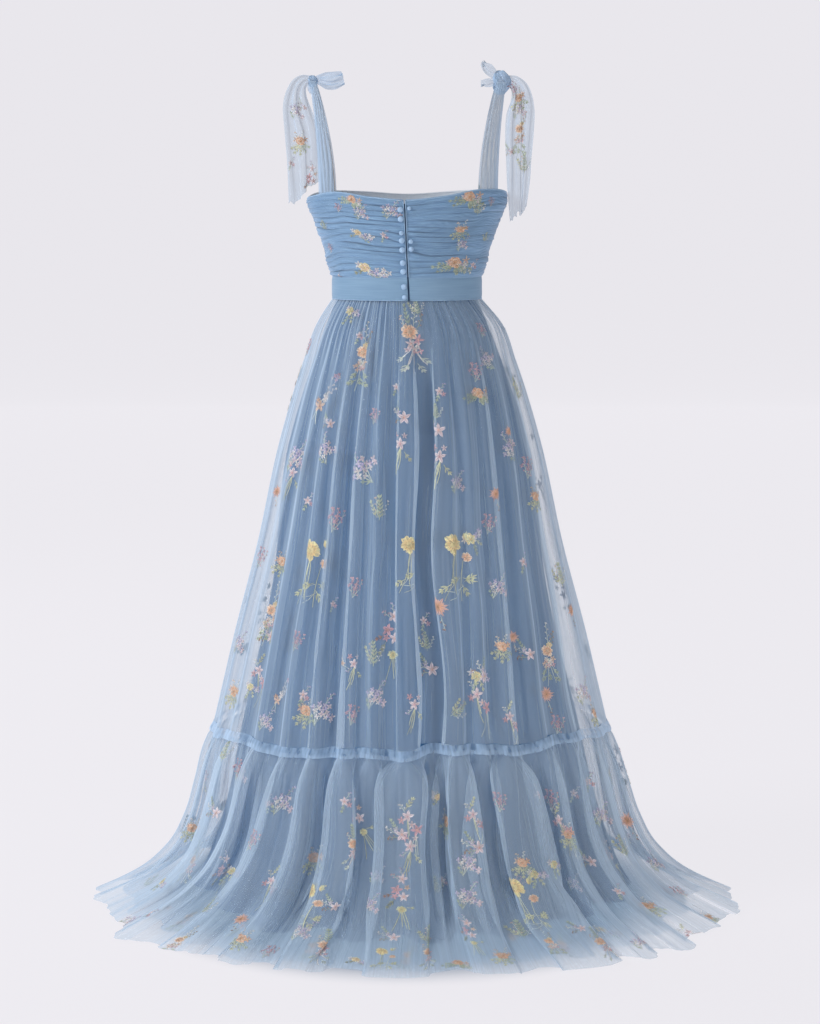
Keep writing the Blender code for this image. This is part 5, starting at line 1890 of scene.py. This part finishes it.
RIGHT_BACK_SPOTS = table(
    Spot,
    (472, 198, WIDE_BLOSSOM, 1.0, -12), (481, 209, LEAFY, 0.6), (462, 233, BLOSSOM, 0.75),
    (464, 246, LILAC_BRANCH, 0.6), (456, 266, WIDE_BLOSSOM, 1.15, -4), (475, 266, SMALL, 0.85),
    (488, 240, LEAFY, 0.45), (493, 204, DOTS, 0.45),
)
LEFT_TAIL_SPOTS = table(
    Spot,
    (297, 112, LILAC_BRANCH, 0.7), (300, 145, BLOSSOM, 0.7), (310, 180, THREE_STARS, 0.6),
    (293, 165, SMALL, 0.6), (306, 105, STAR, 0.5),
)
RIGHT_TAIL_SPOTS = table(
    Spot,
    (521, 131, PEACH_ROSE, 0.75), (519, 97, BLOSSOM, 0.7), (513, 93, DOTS, 0.8), (522, 166, LEAFY, 0.7),
    (514, 152, STAR, 0.6), (518, 108, LILAC_BRANCH, 0.7),
)


@dataclass(frozen=True)
class Needlework:
    """One cloth's embroidery: the cloth, its slot, sprigs by the photograph and sprigs in rows."""

    cloth: str
    slot: str
    spots: tuple[Spot, ...] = ()
    spacing: float = 0.0


NEEDLEWORKS = table(
    Needlework,
    ("skirt_back_cloth", "skirt_tulle", BACK_SKIRT_SPOTS),
    ("ruffle_back_cloth", "skirt_tulle", BACK_RUFFLE_SPOTS),
    ("ruffle_back_under_layer", "skirt_tulle", (), 0.135),
    ("bodice_back_left_ruching", "ruched_tulle", LEFT_BACK_SPOTS),
    ("bodice_back_right_ruching", "ruched_tulle", RIGHT_BACK_SPOTS),
    ("tie_tail_left_net", "tie_tulle", LEFT_TAIL_SPOTS),
    ("tie_tail_right_net", "tie_tulle", RIGHT_TAIL_SPOTS), ("skirt_front_cloth", "skirt_tulle", (), 0.1),
    ("ruffle_front_cloth", "skirt_tulle", (), 0.115), ("bodice_front_ruching", "ruched_tulle", (), 0.052),
    ("strap_front_right_gathered", "tie_tulle", (), 0.06),
    ("strap_front_left_gathered", "tie_tulle", (), 0.06),
)


@dataclass
class Embroiderer:
    """Lays the sprigs on the cloths, each cloth's sprigs one piece.

    A sprig is drawn a little larger than its design. In half-drop rows, sprigs stand further apart
    along a row than the rows do, and each is moved along and down by shares of that spacing and
    turned by some degrees.
    """

    finishes: Finishes
    cloths: GownCloths
    view: Viewpoint
    sections: int = 4
    stand_off: float = 0.35 * MM
    strand_mm: float = 1.3
    most_strands: int = 6
    enlarged: float = 1.13
    widened: float = 1.25
    moved_along: float = 0.18
    moved_down: float = 0.15
    turned: float = 25.0

    def build(self) -> None:
        """Embroider every cloth, by the photograph behind and in half-drop rows elsewhere."""
        for work in NEEDLEWORKS:
            self.embroider(work)

    def embroider(self, work: Needlework) -> None:
        """Stitch one cloth."""
        cloth = self.cloths[work.cloth]
        chance = np.random.default_rng(sum(map(ord, work.cloth)))
        points, colours, uvs = [], [], []
        anchors = [(*self.find(cloth, spot), spot.design, spot.size * self.enlarged, spot.turn)
                   for spot in work.spots]
        if work.spacing:
            anchors += self.half_drop(cloth, work.spacing, chance)
        for row, column, design, size, turn in anchors:
            flat, raised, colour, uv = self.shape(draw(design), size, turn, chance)
            points.append(cloth.lay(row, column, flat, raised))
            colours.append(colour)
            uvs.append(uv)
        points, colours, uvs = np.concatenate(points), np.concatenate(colours), np.concatenate(uvs)
        strands = len(points) // (self.sections * 2)
        corner = np.arange(strands)[:, None] * self.sections * 2 + np.arange(self.sections - 1) * 2
        corner = corner.ravel()
        faces = np.stack([corner, corner + 1, corner + 3, corner + 2], axis=1)
        name = work.cloth.rsplit("_", 1)[0] + "_embroidery"
        settle(make_object(name, points, faces, self.finishes.thread, uvs, colours), work.slot)

    def find(self, cloth: Cloth, spot: Spot) -> tuple[float, float]:
        """The row and column of the nearest cloth that the photograph sees at a pixel."""
        pixels, depth = self.view.project(cloth.points)
        away = np.hypot(pixels[..., 0] - spot.across, pixels[..., 1] - spot.down)
        near = away < max(3.0, float(away.min()) + 1.0)
        best = np.argmin(np.where(near, depth, np.inf))
        row, column = np.unravel_index(best, away.shape)
        return float(row), float(column)

    def half_drop(self, cloth: Cloth, spacing: float, chance: np.random.Generator) -> list[tuple]:
        """Sprigs in rows, every other row moved half a step along, each moved a little at random."""
        designs = list(Design)
        anchors = []
        length = float(cloth.down[-1].mean())
        for number in range(max(1, round(length / spacing))):
            row = (number + 0.5) * spacing / length * (cloth.shape[0] - 1)
            width = float(cloth.along[min(int(row), cloth.shape[0] - 1), -1])
            count = max(1, round(width / spacing / self.widened))
            for place in range(count):
                share = (place + 0.25 + 0.5 * (number % 2)) / count
                share = share + chance.uniform(-self.moved_along, self.moved_along) / count
                down = chance.uniform(-self.moved_down, self.moved_down) * spacing / length
                anchors.append((row + down * cloth.shape[0], share * (cloth.shape[1] - 1),
                                designs[int(chance.integers(len(designs)))],
                                chance.uniform(0.75, 1.05) * min(1.0, spacing / 0.08),
                                chance.uniform(-self.turned, self.turned)))
        return anchors

    def shape(self, sprig: Sprig, size: float, turn: float, chance: np.random.Generator) -> tuple:
        """Work out a sprig's blades, each split into narrow strands of thread side by side.

        Args:
            sprig: the sprig.
            size: its scale.
            turn: how far it is turned, in degrees.
            chance: what varies the strands' lengths and their painted glints and shade.

        Returns:
            Flat places, heights, colours and UV places. A blade's middle line starts at its
            heading and turns evenly by its bend. It is widest just past its middle, and its
            middle stands higher than its edges. Its strands end unevenly. Each strand's colour
            has a random painted glint, and on a split blade a painted shade that is darkest
            where the strand goes in under the next ring and lightens towards its tip.
        """
        blades = np.array(sprig.blades)
        counts = np.clip(np.round(blades[:, 4] * size / self.strand_mm), 1, self.most_strands).astype(int)
        blade = np.repeat(np.arange(len(blades)), counts)
        number = np.arange(len(blade)) - np.repeat(np.cumsum(counts) - counts, counts)
        x, y, heading, length, width, bend, rise, ends = blades[blade].T[..., None]
        many = counts[blade][:, None]
        length = length * np.where(many > 1, chance.uniform(0.78, 1.06, length.shape), 1.0)
        s = np.linspace(0.0, 1.0, self.sections)[None, :]
        way = np.radians(heading + turn + bend * s)
        middle = (way[:, 1:] + way[:, :-1]) / 2
        step = length / (self.sections - 1)
        zero = np.zeros_like(x)
        along_x = np.concatenate([zero, np.cumsum(step * np.cos(middle), axis=1)], axis=1)
        along_y = np.concatenate([zero, np.cumsum(step * np.sin(middle), axis=1)], axis=1)
        spin = radians(turn)
        line_x = x * cos(spin) - y * sin(spin) + along_x
        line_y = x * sin(spin) + y * cos(spin) + along_y
        half = 0.5 * width * (ends + (1.0 - ends) * np.sin(pi * np.clip(s, 0.04, 0.97) ** 0.85) ** 0.7)
        left = 1.0 - 2.0 * number[:, None] / many
        side = np.stack([left - 0.2 / many, left - 1.8 / many], axis=-1)
        flat_x = line_x[..., None] - side * (half * np.sin(way))[..., None]
        flat_y = line_y[..., None] + side * (half * np.cos(way))[..., None]
        flat = np.stack([flat_x, flat_y], axis=-1).reshape(-1, 2) * size * MM
        bulge = (1.0 - 0.85 * side ** 2) * np.sin(pi * np.clip(s, 0.1, 0.9))[..., None]
        raised = (self.stand_off + rise[..., None] * MM * bulge).ravel()
        # painted glint and shade: a random brightness for each strand and, on split blades, painted shade at
        # the base that lightens towards the tip
        painted_glint_and_shade = chance.uniform(0.66, 1.24, x.shape) * np.where(many > 1, 0.74 + 0.42 * s, 1.0)
        colour = np.array([thread.linear for thread in sprig.threads])[blade][:, None, None, :]
        colour = np.broadcast_to(colour * painted_glint_and_shade[..., None, None], (len(x), self.sections, 2, 3))
        colour = colour.reshape(-1, 3)
        uv = np.stack(np.broadcast_arrays(side * half[..., None], (s * length)[..., None]), axis=-1)
        return flat, raised, np.clip(colour, 0.0, 1.0), uv.reshape(-1, 2) * size * MM


# ---- The studio ----


@dataclass(frozen=True)
class Studio:
    """A plain pale floor that sweeps up into a pale backdrop.

    Most of the light is soft and comes from the upper left. Weak lamps lift the right side, its
    lowest part and the cloth seen from behind through the net.
    """

    backdrop_colour: str = "#EAE8ED"
    glow: float = 0.95
    sky: float = 0.34
    half_width: float = 14.0
    near: float = -12.0
    far: float = 10.0
    sweep_radius: float = 2.5
    shade_colour: str = "#5F7790"
    shade_half_width: float = 0.50
    shade_depth: float = 0.59
    top: float = 7.0

    def build(self) -> None:
        """Add the backdrop, the lights and the sky."""
        self.add_backdrop()
        self.add_lamp("key", (-4.4, -2.4, 2.4), (0.0, 0.0, -0.3), 2.4, 215.0, "#FFFFFF")
        self.add_lamp("fill", (2.0, -5.0, 1.0), (0.0, 0.0, -0.4), 3.0, 14.0, "#FFF6E8")
        self.add_lamp("low", (1.9, -3.0, -0.85), (0.35, -0.2, -0.80), 1.0, 3.0, "#FFF8F0", spread=44.0)
        self.add_lamp("rear", (-2.5, 3.0, 2.0), (0.0, 0.0, -0.2), 2.4, 46.0, "#FFFFFF")
        world = bpy.data.worlds.new("studio air")
        bpy.context.scene.world = world
        world.use_nodes = True
        world.node_tree.nodes["Background"].inputs[0].default_value = linear("#EEF0F6")
        world.node_tree.nodes["Background"].inputs[1].default_value = self.sky
        bpy.context.scene.view_settings.view_transform = "Standard"
        bpy.context.scene.cycles.transparent_max_bounces = 32
        bpy.context.scene.cycles.max_bounces = 5
        bpy.context.scene.cycles.diffuse_bounces = 3

    def add_backdrop(self) -> None:
        """A floor carried up through a quarter round into a wall."""
        turn = np.linspace(0.0, pi / 2, 24)
        reach = self.far + self.sweep_radius
        y = np.concatenate([[self.near], self.far + self.sweep_radius * np.sin(turn), [reach]])
        z = FLOOR + np.concatenate([[0.0], self.sweep_radius * (1 - np.cos(turn)), [self.top]])
        x = np.array([-self.half_width, self.half_width])
        points = np.stack(np.broadcast_arrays(x[None, :], y[:, None], z[:, None]), axis=-1).reshape(-1, 3)
        corner = np.arange(len(y) - 1) * 2
        faces = np.stack([corner, corner + 1, corner + 3, corner + 2], axis=1)
        material, _, shader = new_material("matt paper backdrop")
        wire(material.node_tree, shader, Base_Color=linear("#3C3B3E"), Roughness=0.95,
             Emission_Strength=self.glow)
        self.add_shade_under_gown(material.node_tree, shader)
        make_object("backdrop", points, faces, material)

    def add_shade_under_gown(self, tree: bpy.types.NodeTree, shader: bpy.types.Node) -> None:
        """Tint the floor's glow inside the hem: shade under the gown, by the distance from its axis."""
        place = add_node(tree, "TexCoord").outputs["Object"]
        oval = add_node(tree, "Mapping", {"vector_type": "POINT"}, Vector=place,
                        Location=(0.0, 0.0, -FLOOR),
                        Scale=(1.0 / self.shade_half_width, 1.0 / self.shade_depth, 1.0))
        distance = add_node(tree, "VectorMath", {"operation": "LENGTH"}, in_0=oval.outputs[0])
        clear = add_node(tree, "MapRange", {"interpolation_type": "SMOOTHSTEP"},
                         Value=distance.outputs["Value"], From_Min=0.76, From_Max=1.06, To_Min=0.0,
                         To_Max=1.0)
        colour = add_node(tree, "Mix", {"data_type": "RGBA"}, Factor=clear.outputs[0],
                          A=linear(self.shade_colour), B=linear(self.backdrop_colour))
        tree.links.new(colour.outputs["Result"], shader.inputs["Emission Color"])

    def add_lamp(self, name: str, place: Triple, target: Triple,
                 size: float, watts: float, colour: str, spread: float = 180.0) -> None:
        """Add a square soft box that faces a point, with its light held to a spread in degrees."""
        data = bpy.data.lights.new(name, "AREA")
        data.spread = radians(spread)
        data.size = size
        data.energy = watts
        data.color = linear(colour)[:3]
        lamp = bpy.data.objects.new(name, data)
        away = np.array(place) - np.array(target)
        yaw = atan2(away[0], -away[1])
        tilt = atan2(hypot(away[0], away[1]), away[2])
        lamp.location = place
        lamp.rotation_euler = (tilt, 0.0, yaw)
        bpy.context.scene.collection.objects.link(lamp)


def main() -> None:
    """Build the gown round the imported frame, piece by piece."""
    logging.basicConfig(level=logging.INFO, format="%(message)s")
    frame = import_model()
    view = Viewpoint()
    view.add_camera()
    Studio().build()
    finishes = Finishes()
    cloths = GownCloths()
    seams = Skirts(finishes, cloths).build()
    TierBands(finishes, seams).build()
    Bodice(finishes, cloths).build()
    Waistband(finishes).build()
    Opening(finishes, frame).build()
    ShoulderTies(finishes, cloths).build()
    Embroiderer(finishes, cloths, view).build()


if __name__ == "__main__":
    main()
